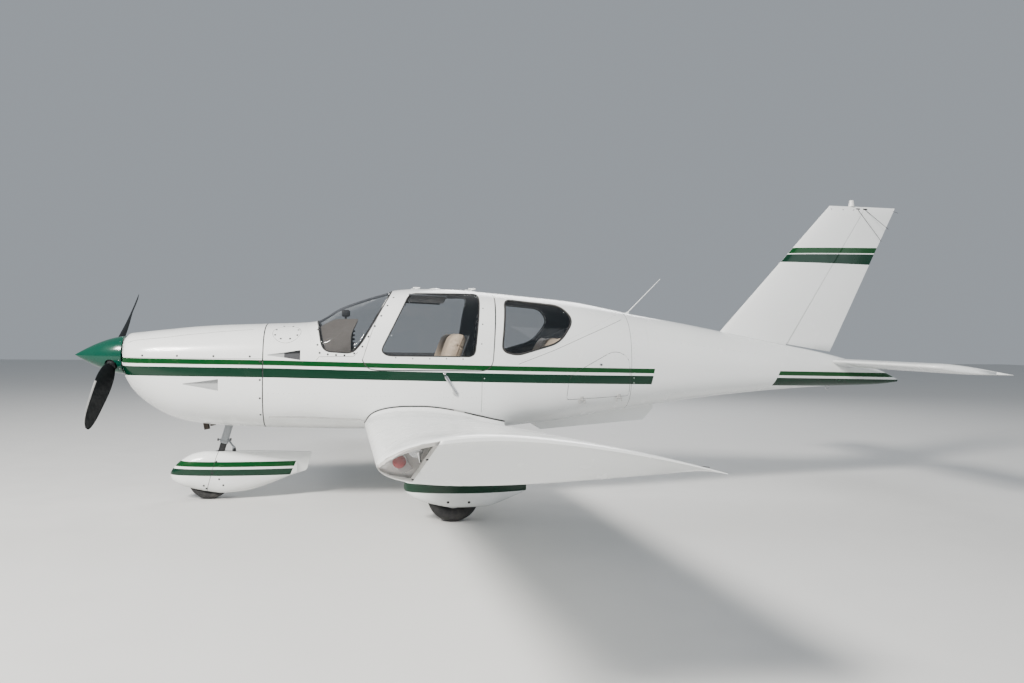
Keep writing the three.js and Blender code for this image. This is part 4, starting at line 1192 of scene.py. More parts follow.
WING_LEADING = 2.420
WING_CHORD = 1.220
WING_THICKNESS = 0.158
WING_CAMBER = 0.022
WING_INCIDENCE = math.radians(1.9)
WING_ROOT_Z = 0.649
DIHEDRAL = math.radians(4.1)
WING_HINGE = WING_LEADING + 0.930
HINGE_DROP = -0.014
HINGE_NOSE = 0.049
FLAP_SPAN = (0.700, 3.060)
AILERON_SPAN = (3.066, 4.640)
LENS_START = 4.700
LENS_WALL = 0.008
SURFACE_GAP = 0.0045


def aerofoil(chord, thickness, camber, steps=34):
    """Points (distance aft, height) from the trailing edge over the top and back below."""
    x = (1 + np.cos(np.linspace(0, math.pi, steps + 1))) / 2
    half = 5 * thickness * (0.2969 * np.sqrt(x) - 0.126 * x - 0.3516 * x ** 2
                            + 0.2843 * x ** 3 - 0.1015 * x ** 4)
    line = np.where(x < 0.4, (camber / 0.16) * (0.8 * x - x * x),
                    (camber / 0.36) * (0.2 + 0.8 * x - x * x))
    top = np.stack([x, line + half], 1) * chord
    under = np.stack([x, line - half], 1)[::-1] * chord
    return top, under[1:]


WING_TOP, WING_UNDER = aerofoil(WING_CHORD, WING_THICKNESS, WING_CAMBER)


def hinged(whole, start, end, radii, gap=SURFACE_GAP, shade=None):
    """Cuts a hinged surface with a rounded nose from a solid, and its hollow in what stays,
    which may be painted dark inside as painted shade."""
    start, end = Vector(start), Vector(end)
    along = (end - start).normalized()
    span = (end - start).length
    rear = Vector((1, 0, 0))
    rear = (rear - along * rear.dot(along)).normalized()
    across = along.cross(rear)

    def at(a, r, c):
        return start + along * a + rear * r + across * c

    def slab(over):
        corners = ((0, -0.4), (1.2, -0.4), (1.2, 0.4), (0, 0.4))
        return loft("slab", [[at(a, r, c) for r, c in corners] for a in (-over, span + over)])

    def nose(grow, over):
        return rod("nose", at(-over, 0, 0), at(span + over, 0, 0), radii[0] + grow,
                   radii[1] + grow, 72)

    moving = within(copy_of(whole, "moving"), boolean(slab(0), nose(0, 0), "UNION"))
    hollow = boolean(slab(gap), nose(gap, gap), "UNION")
    if shade:
        dress(whole, WHITE_PAINT)
        dress(hollow, shade)
    fixed = cut(whole, hollow)
    return moving, fixed


# Columns: distance out, aft shift of the front edge, fullness of the top, share of the depth
# that is left below it
WING_STATIONS = [
    (0.300, 0.0, 1.0, 1.0), (4.690, 0.0, 1.0, 1.0), (4.704, 0.0, 1.0, 0.955),
    (4.730, 0.0, 1.0, 0.82), (4.765, 0.001, 0.999, 0.655), (4.800, 0.003, 0.996, 0.49),
    (4.832, 0.006, 0.988, 0.33), (4.858, 0.011, 0.972, 0.19), (4.876, 0.019, 0.944, 0.10),
    (4.886, 0.030, 0.905, 0.05),
]


def wing_blank(side):
    rings = []
    for out, shift, full, share in WING_STATIONS:
        squeeze = (WING_CHORD - shift) / WING_CHORD
        ring = [(x, z * full) for x, z in WING_TOP]
        for x, z in WING_UNDER:
            above = float(np.interp(x, *WING_TOP[::-1].T)) * full
            ring.append((x, above - (above - z) * share - (1 - share) * 0.003))
        rings.append(np.array([
            (aft(WING_LEADING + shift + x * squeeze), side * out,
             z - x * math.tan(WING_INCIDENCE)) for x, z in ring]))
    # long spans get more rings, so that shading and edges stay even
    even = []
    for a, b in zip(rings, rings[1:]):
        gap = abs(b[0, 1] - a[0, 1])
        for t in np.linspace(0, 1, max(2, int(gap / 0.25) + 1))[:-1]:
            even.append(a + (b - a) * t)
    return loft("wing_blank", even + rings[-1:])


def raise_wing(piece, side):
    """Turns a level wing piece to its dihedral and lifts it to the root's height."""
    turn = Matrix.Rotation(side * DIHEDRAL, 4, "X")
    piece.data.transform(Matrix.Translation((0, 0, WING_ROOT_Z)) @ turn)
    return piece


def make_wings():
    for name, side in SIDES.items():
        blank = wing_blank(side)
        wing = copy_of(blank, f"wing_skin_{name}")
        surfaces = []
        for tag, spread in (("flap", FLAP_SPAN), ("aileron", AILERON_SPAN)):
            ends = [(aft(WING_HINGE), side * out, HINGE_DROP) for out in spread]
            moving, wing = hinged(wing, *ends, (HINGE_NOSE, HINGE_NOSE))
            moving.name = f"{tag}_skin_{name}"
            surfaces.append((tag, moving))
        lens = within(copy_of(blank, f"wingtip_cover_{name}"), lens_region(side, 0.0))
        hollow = copy_of(lens, "hollow")
        middle = sum((v.co for v in lens.data.vertices), Vector()) / len(lens.data.vertices)
        inboard = Vector((0, side * LENS_WALL, 0))
        hollow.data.transform(Matrix.Translation(middle - inboard)
                              @ Matrix.Diagonal((0.985, 1, 0.97, 1)) @ Matrix.Translation(-middle))
        dress(wing, WHITE_PAINT)
        cut(wing, dress(lens_region(side, 0.0006), LAMP_PLATE))
        skins = [wing, lens] + [moving for _, moving in surfaces]
        for piece in skins:
            keep_shading(piece, blank)
        cut(lens, hollow)
        scrap(blank)
        rim = cut(copy_of(lens, f"wingtip_rim_{name}"), lens_region(side, -0.013))
        within(lens, lens_region(side, -0.0132))
        for piece in (*skins, rim):
            raise_wing(piece, side)
        cut(wing, hull.solid("root", 1.8, 4.4, -0.0005))
        fix(wing, WHITE_PAINT, [f"wing_{name}"])
        for tag, moving in surfaces:
            fit(moving, f"{tag}_{name}", WHITE_PAINT, [f"{tag}_{name}"])
        fix(lens, CLEAR, [f"wingtip_lens_{name}"])
        make_tip(name, side, rim, RED_LAMP if side == PORT else GREEN_LAMP)
        fix(rim, RIM_TAPE)


# Height, then the stations of the leading edge, the rudder's hinge and the trailing edge
FIN_LOW = (1.300, 5.640, 6.476, 6.994)
FIN_HIGH = (2.780, 6.984, 7.392, 7.710)
# Columns: height, share of the thickness
FIN_TOP = [(1.300, 1.0), (2.700, 1.0), (2.730, 0.93), (2.752, 0.80), (2.768, 0.6),
           (2.780, 0.33)]
FIN_THICKNESS = 0.088


def fin_edges(z):
    t = (z - FIN_LOW[0]) / (FIN_HIGH[0] - FIN_LOW[0])
    return [a + (b - a) * t for a, b in zip(FIN_LOW[1:], FIN_HIGH[1:])]


def make_fin():
    rings = []
    for z in list(np.linspace(1.300, 2.700, 12)) + [z for z, _ in FIN_TOP[2:]]:
        share = float(np.interp(z, *zip(*FIN_TOP)))
        leading, _, trailing = fin_edges(z)
        top, under = aerofoil(trailing - leading, FIN_THICKNESS, 0)
        rings.append([(aft(leading + x), y * share, z) for x, y in list(top) + list(under)])
    blank = loft("fin_blank", rings)
    foot = Vector((aft(FIN_LOW[2]), 0, FIN_LOW[0]))
    head = Vector((aft(FIN_HIGH[2]), 0, FIN_HIGH[0]))
    # the rudder's hollow gets a near black inside: painted shade in the hinge gap
    rudder, fin = hinged(copy_of(blank, "fin_skin"), foot.lerp(head, 0.055),
                         foot.lerp(head, 1.15), (0.043, 0.025), 0.0065, PAINTED_SEAM_SHADE)
    slope = [(6.3, 1.427), (7.4, 1.262), (7.4, 0.9), (6.3, 0.9)]
    cut(rudder, prism("slope", slope, -1, 1))
    cut(fin, hull.solid("root", 5.0, 7.3, -0.0005))
    for piece in (rudder, fin):
        keep_shading(piece, blank)
    scrap(blank)
    rudder.name = "rudder_skin"
    fit(rudder, "rudder", FIN_PAINT, ["rudder"])
    fix(fin, FIN_PAINT, ["fin"])


STAB_LEADING = 6.951
STAB_CHORD = 0.753
STAB_ROOT = 0.142
STAB_INCIDENCE = math.radians(5.2)
# Columns: distance out, aft shift of the leading edge, share of the thickness
STAB_TIP = [(0.142, 0.0, 1.0), (1.500, 0.0, 1.0), (1.530, 0.006, 0.985), (1.555, 0.017, 0.95),
            (1.575, 0.033, 0.88), (1.590, 0.054, 0.76), (1.600, 0.080, 0.58)]
TAB_CHORD = 0.150


def make_tailplane():
    place = (Matrix.Translation((aft(STAB_PIVOT[0]), 0, STAB_PIVOT[1]))
             @ Matrix.Rotation(STAB_INCIDENCE, 4, "Y")
             @ Matrix.Translation((STAB_LEADING - STAB_PIVOT[0], 0, 0)))
    tube = rod("stabilator_tube", *pivot_ends(STAB_ROOT + 0.04), 0.025, sides=40)
    fit(tube, "stabilator", STEEL)
    for name, side in SIDES.items():
        rings = []
        outs, shifts, shares = zip(*STAB_TIP)
        for out in list(np.linspace(STAB_ROOT, outs[1], 7)) + list(outs[2:]):
            shift = float(np.interp(out, outs, shifts))
            share = float(np.interp(out, outs, shares))
            top, under = aerofoil(STAB_CHORD - shift, 0.1, 0)
            rings.append([(x + shift, side * out, z * share) for x, z in list(top) + list(under)])
        blank = loft("tailplane_blank", rings)
        line = [(STAB_CHORD - TAB_CHORD, side * out, 0) for out in (STAB_ROOT + 0.006, 1.606)]
        tab, plane = hinged(copy_of(blank, "tailplane"), *line, (0.014, 0.014), 0.003)
        for piece in (tab, plane):
            keep_shading(piece, blank)
            piece.data.transform(place)
        scrap(blank)
        plane.name = f"stabilator_skin_{name}"
        tab.name = f"stabilator_tab_skin_{name}"
        stands = ["stabilator"] if side == PORT else []
        fit(plane, "stabilator", WHITE_PAINT, stands)
        fit(tab, "stabilator_tab", WHITE_PAINT, [f"stabilator_tab_{name}"])


# wing root, wing tip and the small things on the wings and tail


def wing_skin(station, out, over=True):
    """Height of the wing's upper or lower skin at a distance out, as built."""
    x = station - WING_LEADING
    line = WING_TOP[::-1] if over else np.vstack([WING_TOP[-1:], WING_UNDER])
    z = float(np.interp(x, *line.T)) - x * math.tan(WING_INCIDENCE)
    return WING_ROOT_Z + abs(out) * math.sin(DIHEDRAL) + z * math.cos(DIHEDRAL)


ROOT_SEAL = [
    (2.427, 0.700), (2.443, 0.738), (2.489, 0.788), (2.551, 0.815), (2.635, 0.833),
    (2.762, 0.843), (2.889, 0.843), (3.018, 0.833), (3.125, 0.816), (3.234, 0.793),
    (3.376, 0.760), (3.497, 0.731), (3.610, 0.706),
]


def make_roots():
    """The hollow fairing between wing and hull, with the rubber strip along its upper edge."""
    rows = np.array(ROOT_SEAL)
    stations = np.concatenate([np.linspace(2.424, 2.48, 8), np.linspace(2.50, 3.610, 38)])
    for name, side in SIDES.items():
        rings, path = [], []
        for station in stations:
            z = float(flowing(rows[:, 0], rows[:, 1], np.array([max(station, 2.427)]))[0])
            place, away = hull.side(station, z, side)
            path.append((place, away))
            reach = 0.105 if station < 3.24 else max(0.030, 0.105 - (station - 3.24) * 0.7)
            out = min(abs(place.y) + reach, 0.745 if station < 3.28 else 0.693)
            skin = wing_skin(max(station, 2.4215), out)
            foot = Vector((aft(station), side * out, skin + 0.0006))
            low = min(place.z, foot.z) - 0.020
            curve = [(place.y + (foot.y - place.y) * t, foot.z + (place.z - foot.z) * (1 - t) ** 2)
                     for t in np.linspace(0, 1, 9)]
            inner = place.y - side * 0.012
            curve += [(foot.y, foot.z - 0.006), (inner, low), (inner, place.z)]
            rings.append([(aft(station), y, z) for y, z in curve])
        fillet = loft(f"wing_root_fairing_{name}", rings)
        fix(soften(fillet, 50), WHITE_PAINT)
        fix(strip(f"wing_root_seal_{name}", path, 0.016, -0.004, 0.0055), SEAL)
        clip = [p for p, s in zip(path, stations) if 3.14 < s < 3.28]
        fix(strip(f"wing_root_clip_{name}", clip, 0.022, 0.001, 0.0065), PALE_TAPE)


def on_wing(station, out, side, over=True):
    """A place on the wing's skin and its outward direction."""
    ahead, behind = (wing_skin(station + step, out, over) for step in (-NEAR_STEP, NEAR_STEP))
    slope = (behind - ahead) / (2 * NEAR_STEP)
    normal = Vector((-slope, -side * math.sin(DIHEDRAL), 1)).normalized() * (1 if over else -1)
    return Vector((aft(station), side * out, wing_skin(station, out, over))), normal


LENS_EDGE = [(0.0, -0.5), (2.312, -0.5), (2.847, 0.5), (0.0, 0.5)]


def lens_region(side, grow):
    """The space of the clear tip cover in the level wing: below the top skin, ahead of a
    slanted edge."""
    y0, y1 = sorted((side * (LENS_START - grow), side * 5.0))
    region = prism("lens_region", inset(LENS_EDGE, -grow), y0, y1)
    outline = [(WING_LEADING + x, z - x * math.tan(WING_INCIDENCE) - 0.013 + grow)
               for x, z in WING_TOP]
    outline += [(2.3, outline[-1][1]), (2.3, -0.6), (3.7, -0.6)]
    return within(region, prism("below_top", outline, -5.1, 5.1))


# Columns: station, height of the screws along the clear cover's edge
RIM_SCREWS = [(2.438, 0.948), (2.546, 0.932), (2.588, 1.015), (2.600, 1.090)]


def make_tip(name, side, rim, lamp):
    """Lamps on their pale plate behind the clear cover, and the screws of its rim."""
    plate_y = side * (LENS_START + 0.001)

    def disc(tag, station, z, radius, rise, end):
        return rod(tag, (aft(station), plate_y, z), (aft(station), plate_y + side * rise, z),
                   radius, end, 32)

    base = disc("lamp_ring", 2.499, 0.997, 0.027, 0.007, 0.026)
    dome = ball(f"tip_lamp_{name}", (aft(2.499), plate_y + side * 0.007, 0.997), 0.0245,
                (1, 0.8, 1), 32, 16)
    fix(dome, lamp)
    corners = [(2.492, 0.968), (2.508, 0.953), (2.548, 0.971), (2.524, 1.006)]
    wedge = prism(f"tip_lamp_wedge_{name}", corners, *sorted((plate_y, plate_y + side * 0.010)))
    reflector = disc("reflector", 2.556, 1.037, 0.022, 0.010, 0.027)
    bracket = rod("bracket", (aft(2.566), plate_y + side * 0.010, 1.030),
                  (aft(2.572), plate_y + side * 0.008, 0.992), 0.011, 0.004, 16)
    fix(soften(round_edges(wedge, 0.003, 2)), LAMP_WEDGE)
    fix(join(f"tip_lamp_fittings_{name}", base, reflector, bracket), BRIGHT)
    strobe = (aft(2.556), plate_y + side * 0.016, 1.037)
    bulb = ball("bulb", strobe, 0.014, (1, 0.8, 1))
    fix(join(f"tip_strobe_{name}", bulb, hoop("coil", strobe, 0.019, 0.0045, 32)),
        CLEAR)
    spots = []
    for station, z in RIM_SCREWS:
        start = Vector((aft(station), side * 5.2, z))
        found, place, normal, _ = rim.ray_cast(start, Vector((0, -side, 0)))
        if found:
            spots.append((place, normal))
    fix(buttons(f"tip_cover_screws_{name}", spots, 0.0052, 0.0018, 12), BLACK_PAINT)


# Columns: first and last station, inner and outer distance of the cover plates near the tip
TIP_PATCHES = [(2.438, 2.465, 4.26, 4.66), (2.552, 2.590, 3.87, 4.45)]


def wing_patch(side, s0, s1, inner, outer):
    """A thin plate that follows the wing's upper skin."""
    rings = []
    for out in np.linspace(inner, outer, 12):
        line = [on_wing(s, out, side) for s in np.linspace(s0, s1, 9)]
        rings.append([place + up * 0.0012 for place, up in line]
                     + [place - up * 0.0020 for place, up in reversed(line)])
    return loft("patch", rings)


def make_wing_marks():
    """Access plates, rivets, tie-down rings and static wicks."""
    for name, side in SIDES.items():
        patches = [wing_patch(side, *corners) for corners in TIP_PATCHES]
        fix(join(f"tip_plates_{name}", *patches), WHITE_PAINT)
        heads = []
        for station in np.linspace(2.56, 3.24, 11):
            heads.append(on_wing(station, 0.765, side))
            heads.append(on_wing(station, 4.655, side))
        for out in np.linspace(0.90, 4.5, 46):
            heads.append(on_wing(2.900, out, side))
            heads.append(on_wing(2.900, out, side, False))
        for out in (1.5, 2.1, 2.7, 3.3, 3.9):
            for station in np.linspace(2.52, 3.26, 15):
                heads.append(on_wing(station, out, side))
                heads.append(on_wing(station, out, side, False))
        fix(buttons(f"wing_rivets_{name}", heads, 0.0034, 0.0008, 6), RIVET_PAINT)
        place, _ = on_wing(2.950, 1.985, side, False)
        up = Vector((0, 0, 1))
        ring = hoop("tie_down", place - up * 0.018, 0.018, 0.004)
        stem = rod("stem", place + up * 0.004, place - up * 0.004, 0.008, sides=16)
        fix(join(f"tie_down_ring_{name}", ring, stem), STEEL)
        wicks = []
        for out in (3.45, 4.05, 4.55):
            z = wing_skin(3.630, out)
            start = Vector((aft(3.632), side * out, z + 0.0005))
            wicks.append(rod("wick", start, start + Vector((0.085, 0, -0.010)), 0.0024, 0.0014, 8))
            wicks.append(rod("foot", start + Vector((-0.020, 0, 0.001)),
                             start + Vector((0.012, 0, 0)), 0.0042, 0.0036, 10))
        fit(join(f"wing_wicks_{name}", *wicks), f"aileron_{name}", BLACK_PAINT)
    low = hull.at(6.985)[1]
    fix(hoop("tail_tie_down_ring", (aft(6.985), 0, low - 0.015), 0.020, 0.0045), STEEL)


def make_fin_fittings():
    """Cap screws, two aerial rods each side and a static wick, and the roof's blister."""
    heads = []
    for side in SIDES.values():
        for station in (6.995, 7.115, 7.228):
            leading, _, trailing = fin_edges(2.748)
            top, _ = aerofoil(trailing - leading, FIN_THICKNESS, 0)
            half = float(np.interp(station - leading, *top[::-1].T))
            heads.append((Vector((aft(station), side * half, 2.745)), Vector((0, side, 0))))
    fix(buttons("fin_cap_screws", heads, 0.0065, 0.0018), BRIGHT)
    rods, feet = [], []
    for side in SIDES.values():
        for s0, s1, z1 in ((7.282, 7.423, 2.415), (7.362, 7.498, 2.537)):
            start = Vector((aft(s0), side * 0.022, 2.752))
            rods.append(rod("rod", start, (aft(s1), side * 0.205, z1), 0.0030, 0.0024, 10))
            feet.append(rod("foot", start + Vector((-0.020, 0, 0.004)),
                            start + Vector((0.020, 0, 0.004)), 0.0065, sides=14))
    fix(join("fin_aerial_rods", *rods, *feet), BLACK_PAINT)
    wick = rod("rudder_wick", (aft(7.690), 0, 2.752), (aft(7.748), 0, 2.735), 0.0022, 0.0016, 8)
    fit(wick, "rudder", BLACK_PAINT)
    place = (aft(3.048), 0, hull.top(3.048) - 0.006)
    fix(ball("roof_blister", place, 0.068, (1, 1, 0.34), 40, 20), WHITE_PAINT)


# propeller

SPINNER_LENGTH = 0.404
SPINNER_RADIUS = 0.162
BLADE_STATION = 0.318
BLADE_ANGLE = math.radians(55)
# Columns: distance from the hub, chord, thickness, pitch in degrees
BLADE = [
    (0.100, 0.078, 0.066, 58), (0.150, 0.086, 0.056, 52), (0.200, 0.108, 0.044, 48),
    (0.250, 0.130, 0.034, 44), (0.320, 0.148, 0.028, 39.5), (0.400, 0.160, 0.024, 35),
    (0.500, 0.164, 0.020, 30), (0.600, 0.160, 0.017, 26), (0.700, 0.152, 0.0145, 23),
    (0.780, 0.140, 0.012, 21), (0.840, 0.124, 0.0105, 19.5), (0.890, 0.100, 0.009, 18),
    (0.920, 0.074, 0.007, 17), (0.934, 0.048, 0.0055, 17), (0.940, 0.020, 0.004, 17),
]


def spinner_radius(share):
    """The spinner's radius at a share of its length from the tip."""
    return SPINNER_RADIUS * (1 - (1 - share) ** 1.6)


def blade_ring(hub, out, across, reach):
    """A blade's section, which turns round towards the hub."""
    chord, thick, pitch = row_at(BLADE, reach)
    turn = math.radians(pitch)
    round_share = max(0.0, min(1.0, (0.22 - reach) / 0.1))
    top, under = aerofoil(1.0, 1.0, 0, 16)
    ring = []
    for x, z in list(top) + list(under):
        angle = math.atan2(z, 0.5 - x)
        u = (0.5 - x) * (1 - round_share) + round_share * 0.5 * math.cos(angle)
        v = z * (1.3 if z > 0 else 0.7) * (1 - round_share) + round_share * 0.5 * math.sin(angle)
        u, v = u * chord, v * thick
        place = hub + out * reach
        place = place + Vector((1, 0, 0)) * (-u * math.sin(turn) - v * math.cos(turn))
        ring.append(tuple(place + across * (v * math.sin(turn) - u * math.cos(turn))))
    return ring


def make_propeller():
    profile = [(spinner_radius(k / 24), SPINNER_LENGTH * k / 24) for k in range(25)]
    profile += [(SPINNER_RADIUS - 0.004, SPINNER_LENGTH), (0.0, SPINNER_LENGTH)]
    spinner = turned("spinner_skin", profile, (0, 0, 0), 96)
    spinner.data.transform(Matrix.Translation((aft(0), 0, THRUST_Z))
                           @ Matrix.Rotation(-math.pi / 2, 4, "Z"))
    edit(spinner, FACE_OUTWARDS)
    source = copy_of(spinner, "source")
    axis = Vector((0, -math.sin(BLADE_ANGLE), -math.cos(BLADE_ANGLE)))
    hub = Vector((aft(BLADE_STATION), 0, THRUST_Z))
    reaches = np.concatenate([np.linspace(0.10, 0.86, 30), np.linspace(0.87, 0.94, 14)])
    blades = []
    for way in (1, -1):
        out = axis * way
        across = Vector((1, 0, 0)).cross(out)
        rings = [blade_ring(hub, out, across, reach) for reach in reaches]
        blade = dress(loft("blade", rings), BLADE_PAINT)
        blade.data.materials.append(PALE_TAPE)
        count = len(rings[0])
        for face in blade.data.polygons[:count * (len(rings) - 1)]:
            row, column = divmod(face.index, count)
            if reaches[row] > 0.42 and count // 2 - 3 <= column <= count // 2 + 2:
                face.material_index = 1
        blades.append(blade)
        cut(spinner, rod("root_hole", hub + out * 0.07, hub + out * 0.26, 0.050, 0.056, 48))
    keep_shading(spinner, source)
    scrap(source)
    fit(spinner, "propeller", GREEN_PAINT, ["spinner"])
    shank = rod("blade_shanks", hub - axis * 0.17, hub + axis * 0.17, 0.040, sides=40)
    fit(join("propeller_blade_pair", *blades), "propeller", BLADE_PAINT,
        ["propeller_blades"])
    fit(shank, "propeller", BLACK_PAINT)
    screws = []
    for k in range(12):
        turn = math.tau * (k + 0.5) / 12
        c, s = math.cos(turn), math.sin(turn)
        radius = spinner_radius(0.962)
        spot = Vector((aft(0.962 * SPINNER_LENGTH), radius * c, THRUST_Z + radius * s))
        out = Vector((-0.25, c, s)).normalized()
        screws.append(rod("screw", spot - out * 0.003, spot + out * 0.0012, 0.0042, 0.0036, 12))
    fit(join("spinner_screws", *screws), "propeller", BRIGHT)


# spats and wheels

MAIN_WHEEL = dict(station=3.098, y=1.165, radius=0.203, width=0.144, rim=0.098)
NOSE_WHEEL = dict(station=1.104, y=0.0, radius=0.180, width=0.125, rim=0.082)
AXLE_RADIUS = 0.0143
# Columns: station, top, bottom, half width
MAIN_SPAT = [
    (2.716, 0.292, 0.256, 0.014), (2.744, 0.365, 0.222, 0.062), (2.830, 0.447, 0.172, 0.108),
    (2.960, 0.500, 0.134, 0.136), (3.090, 0.507, 0.112, 0.144), (3.220, 0.494, 0.110, 0.140),
    (3.340, 0.462, 0.114, 0.122), (3.500, 0.396, 0.158, 0.080), (3.676, 0.300, 0.226, 0.012),
]
NOSE_SPAT = [
    (0.778, 0.238, 0.200, 0.014), (0.802, 0.276, 0.170, 0.054), (0.872, 0.344, 0.128, 0.090),
    (0.975, 0.398, 0.094, 0.112), (1.100, 0.418, 0.068, 0.122), (1.220, 0.416, 0.052, 0.122),
    (1.400, 0.396, 0.066, 0.106), (1.620, 0.358, 0.128, 0.070), (1.790, 0.332, 0.194, 0.030),
    (1.842, 0.324, 0.214, 0.018),
]
NOSE_SPAT_FIN = [(1.240, 0.408), (1.363, 0.415), (1.666, 0.408), (1.965, 0.397), (1.931, 0.259),
                 (1.920, 0.234), (1.785, 0.190), (1.620, 0.200), (1.300, 0.280)]
MAIN_SPAT_SCREWS = [(3.045, 0.168), (3.206, 0.164), (2.960, 0.420), (3.120, 0.440),
                    (3.280, 0.410)]
NOSE_SPAT_SCREWS = [(1.170, 0.335), (1.139, 0.236), (1.196, 0.184), (1.070, 0.130),
                    (1.230, 0.131), (1.091, 0.104)]
SPAT_WALL = 0.005
# How square a spat's section is, above and below its middle
SPAT_UPPER = 0.74
SPAT_LOWER = 0.52


def spat_form(name, rows, y, wall=0.0, ahead=0.0):
    """A spat's outer form, or with a wall its hollow, which starts and ends further in."""
    s0, s1 = rows[0][0] + ahead, rows[-1][0] - 2.5 * ahead
    share = (1 - np.cos(np.linspace(0, math.pi, 41))) / 2
    rings = []
    for station in s0 + (s1 - s0) * share:
        top, bottom, half = row_at(rows, station)
        wide, tall = max(half - wall, 0.002), max((top - bottom) / 2 - wall, 0.002)
        angle = np.linspace(0, math.tau, 57)[:-1]
        c, s = np.cos(angle), np.sin(angle)
        power = np.where(s < 0, SPAT_LOWER, SPAT_UPPER)
        rings.append(np.stack([
            np.full(56, aft(station)), y + wide * np.sign(c) * np.abs(c) ** power,
            (top + bottom) / 2 + tall * np.sign(s) * np.abs(s) ** power], 1))
    return loft(name, rings)


def make_spat(name, rows, wheel, y, fin=None):
    outer = spat_form(name, rows, y)
    if fin:
        plate = prism("fin", rounded([(s, z, 0.012) for s, z in fin], 3), -0.009, 0.009)
        boolean(outer, soften(round_edges(plate, 0.005, 3, 50)), "UNION")
    source = copy_of(outer, "source")
    cut(outer, spat_form("hollow", rows, y, SPAT_WALL, 0.022))
    half = wheel["width"] / 2 + 0.009
    reach = wheel["radius"] + 0.012
    start, end = wheel["station"] - reach, wheel["station"] + reach
    top = wheel["radius"]
    mouth = rounded([(start, -0.1, 0.01), (end, -0.1, 0.01), (end, top, 0.08), (start, top, 0.08)])
    cut(outer, prism("mouth", mouth, y - half, y + half))
    keep_shading(outer, source)
    scrap(source)
    return outer


def spat_spots(rows, y, places):
    """Places and outward directions on both sides of a spat."""
    found = []
    for station, z in places:
        top, bottom, half = row_at(rows, station)
        middle, tall = (top + bottom) / 2, (top - bottom) / 2
        share = min(0.98, abs(z - middle) / tall)
        power = SPAT_UPPER if z > middle else SPAT_LOWER
        wide = half * (1 - share ** (2 / power)) ** (power / 2)
        for side in SIDES.values():
            tilt = (z - middle) / tall * (share ** 1.6) * half / tall
            found.append((Vector((aft(station), y + side * wide, z)),
                          Vector((0, side, tilt)).normalized()))
    return found


STRUT_TOP = (1.279, 0.712)
STRUT_END = (1.196, 0.416)
STRUT_LEAN = (STRUT_TOP[0] - STRUT_END[0]) / (STRUT_TOP[1] - STRUT_END[1])


def on_strut(z, back=0.0, y=0.0):
    """A place on the nose strut's leaning line, or set back and aside from it."""
    return Vector((aft(STRUT_END[0] + (z - STRUT_END[1]) * STRUT_LEAN + back), y, z))


def main_leg(side, z):
    """A place on a main leg's upright line."""
    return (aft(2.962), side * (MAIN_WHEEL["y"] - 0.103), z)


def make_spats():
    for name, side in SIDES.items():
        y = side * MAIN_WHEEL["y"]
        spat = make_spat(f"main_spat_skin_{name}", MAIN_SPAT, MAIN_WHEEL, y)
        cut(spat, rod("leg_hole", main_leg(side, 0.9), main_leg(side, 0.33), 0.034))
        fix(spat, MAIN_SPAT_PAINT, [f"main_spat_{name}"])
        heads = spat_spots(MAIN_SPAT, y, MAIN_SPAT_SCREWS)
        fix(buttons(f"main_spat_screws_{name}", heads, 0.0105, 0.0022), DARK_SCREW)
    spat = make_spat("nose_spat_skin", NOSE_SPAT, NOSE_WHEEL, 0, NOSE_SPAT_FIN)
    hole = (on_strut(0.56, -0.013 * STRUT_LEAN), on_strut(0.386))
    cut(spat, rod("strut_hole", *hole, 0.038))
    line = prism("slice", [(1.198, 0.50), (1.202, 0.50), (1.079, 0.02), (1.075, 0.02)], -0.2, 0.2)
    ring = cut(line, spat_form("core", NOSE_SPAT, 0, 0.0014, 0.004))
    source = copy_of(spat, "source")
    dress(spat, NOSE_SPAT_PAINT)
    # the panel line across the spat is painted near black: painted shade
    cut(spat, dress(ring, PAINTED_SEAM_SHADE))
    keep_shading(spat, source)
    scrap(source)
    fit(spat, "nose_leg", NOSE_SPAT_PAINT, ["nose_spat"])
    heads = spat_spots(NOSE_SPAT, 0, NOSE_SPAT_SCREWS)
    fit(buttons("nose_spat_screws", heads, 0.0085, 0.0018), "nose_leg", DARK_SCREW)


def make_wheel(name, body, station, y, radius, width, rim):
    half = width / 2
    centre = (aft(station), y, radius)

    def both_sides(near):
        """A profile of (radius, share of the half width) pairs, then the same mirrored."""
        return [(r, -o * half) for r, o in near] + [(r, o * half) for r, o in reversed(near)]

    near = [(rim + 0.001, 0.60), (rim + 0.012, 0.70), (0.70 * radius, 0.93), (0.80 * radius, 1.0),
            (0.88 * radius, 0.95), (0.95 * radius, 0.80), (radius - 0.004, 0.62),
            (radius - 0.0015, 0.50)]
    for groove_at in (0.38, 0.13):
        for across, depth in ((0.0035, 0.0), (0.0022, 0.006), (-0.0022, 0.006), (-0.0035, 0.0)):
            near.append((radius - depth, groove_at + across / half))
    tyre = turned(f"{name}_tyre_tread", both_sides(near), centre, 72)
    fit(tyre, body, TYRE, [f"{name}_tyre"])
    near = [(0.0154, 0.5), (0.030, 0.5), (0.034, 0.30), (0.70 * rim, 0.26), (0.84 * rim, 0.44),
            (0.90 * rim, 0.62), (rim, 0.62)]
    wheel = turned(f"{name}_wheel", both_sides(near), centre, 64)
    for k in range(6):
        turn = math.tau * k / 6
        spot = Vector((0.50 * rim * math.cos(turn), 0, 0.50 * rim * math.sin(turn)))
        spot += Vector(centre)
        cut(wheel, rod("hole", spot - Vector((0, width, 0)), spot + Vector((0, width, 0)),
                       0.15 * rim, sides=20))
    fit(soften(wheel), body, WHEEL_ALLOY, [f"{name}_rim"])


def make_wheels():
    for name, side in SIDES.items():
        y = side * MAIN_WHEEL["y"]
        make_wheel(f"main_{name}", f"main_wheel_{name}", **{**MAIN_WHEEL, "y": y})
    make_wheel("nose", "nose_wheel", **NOSE_WHEEL)


# undercarriage legs


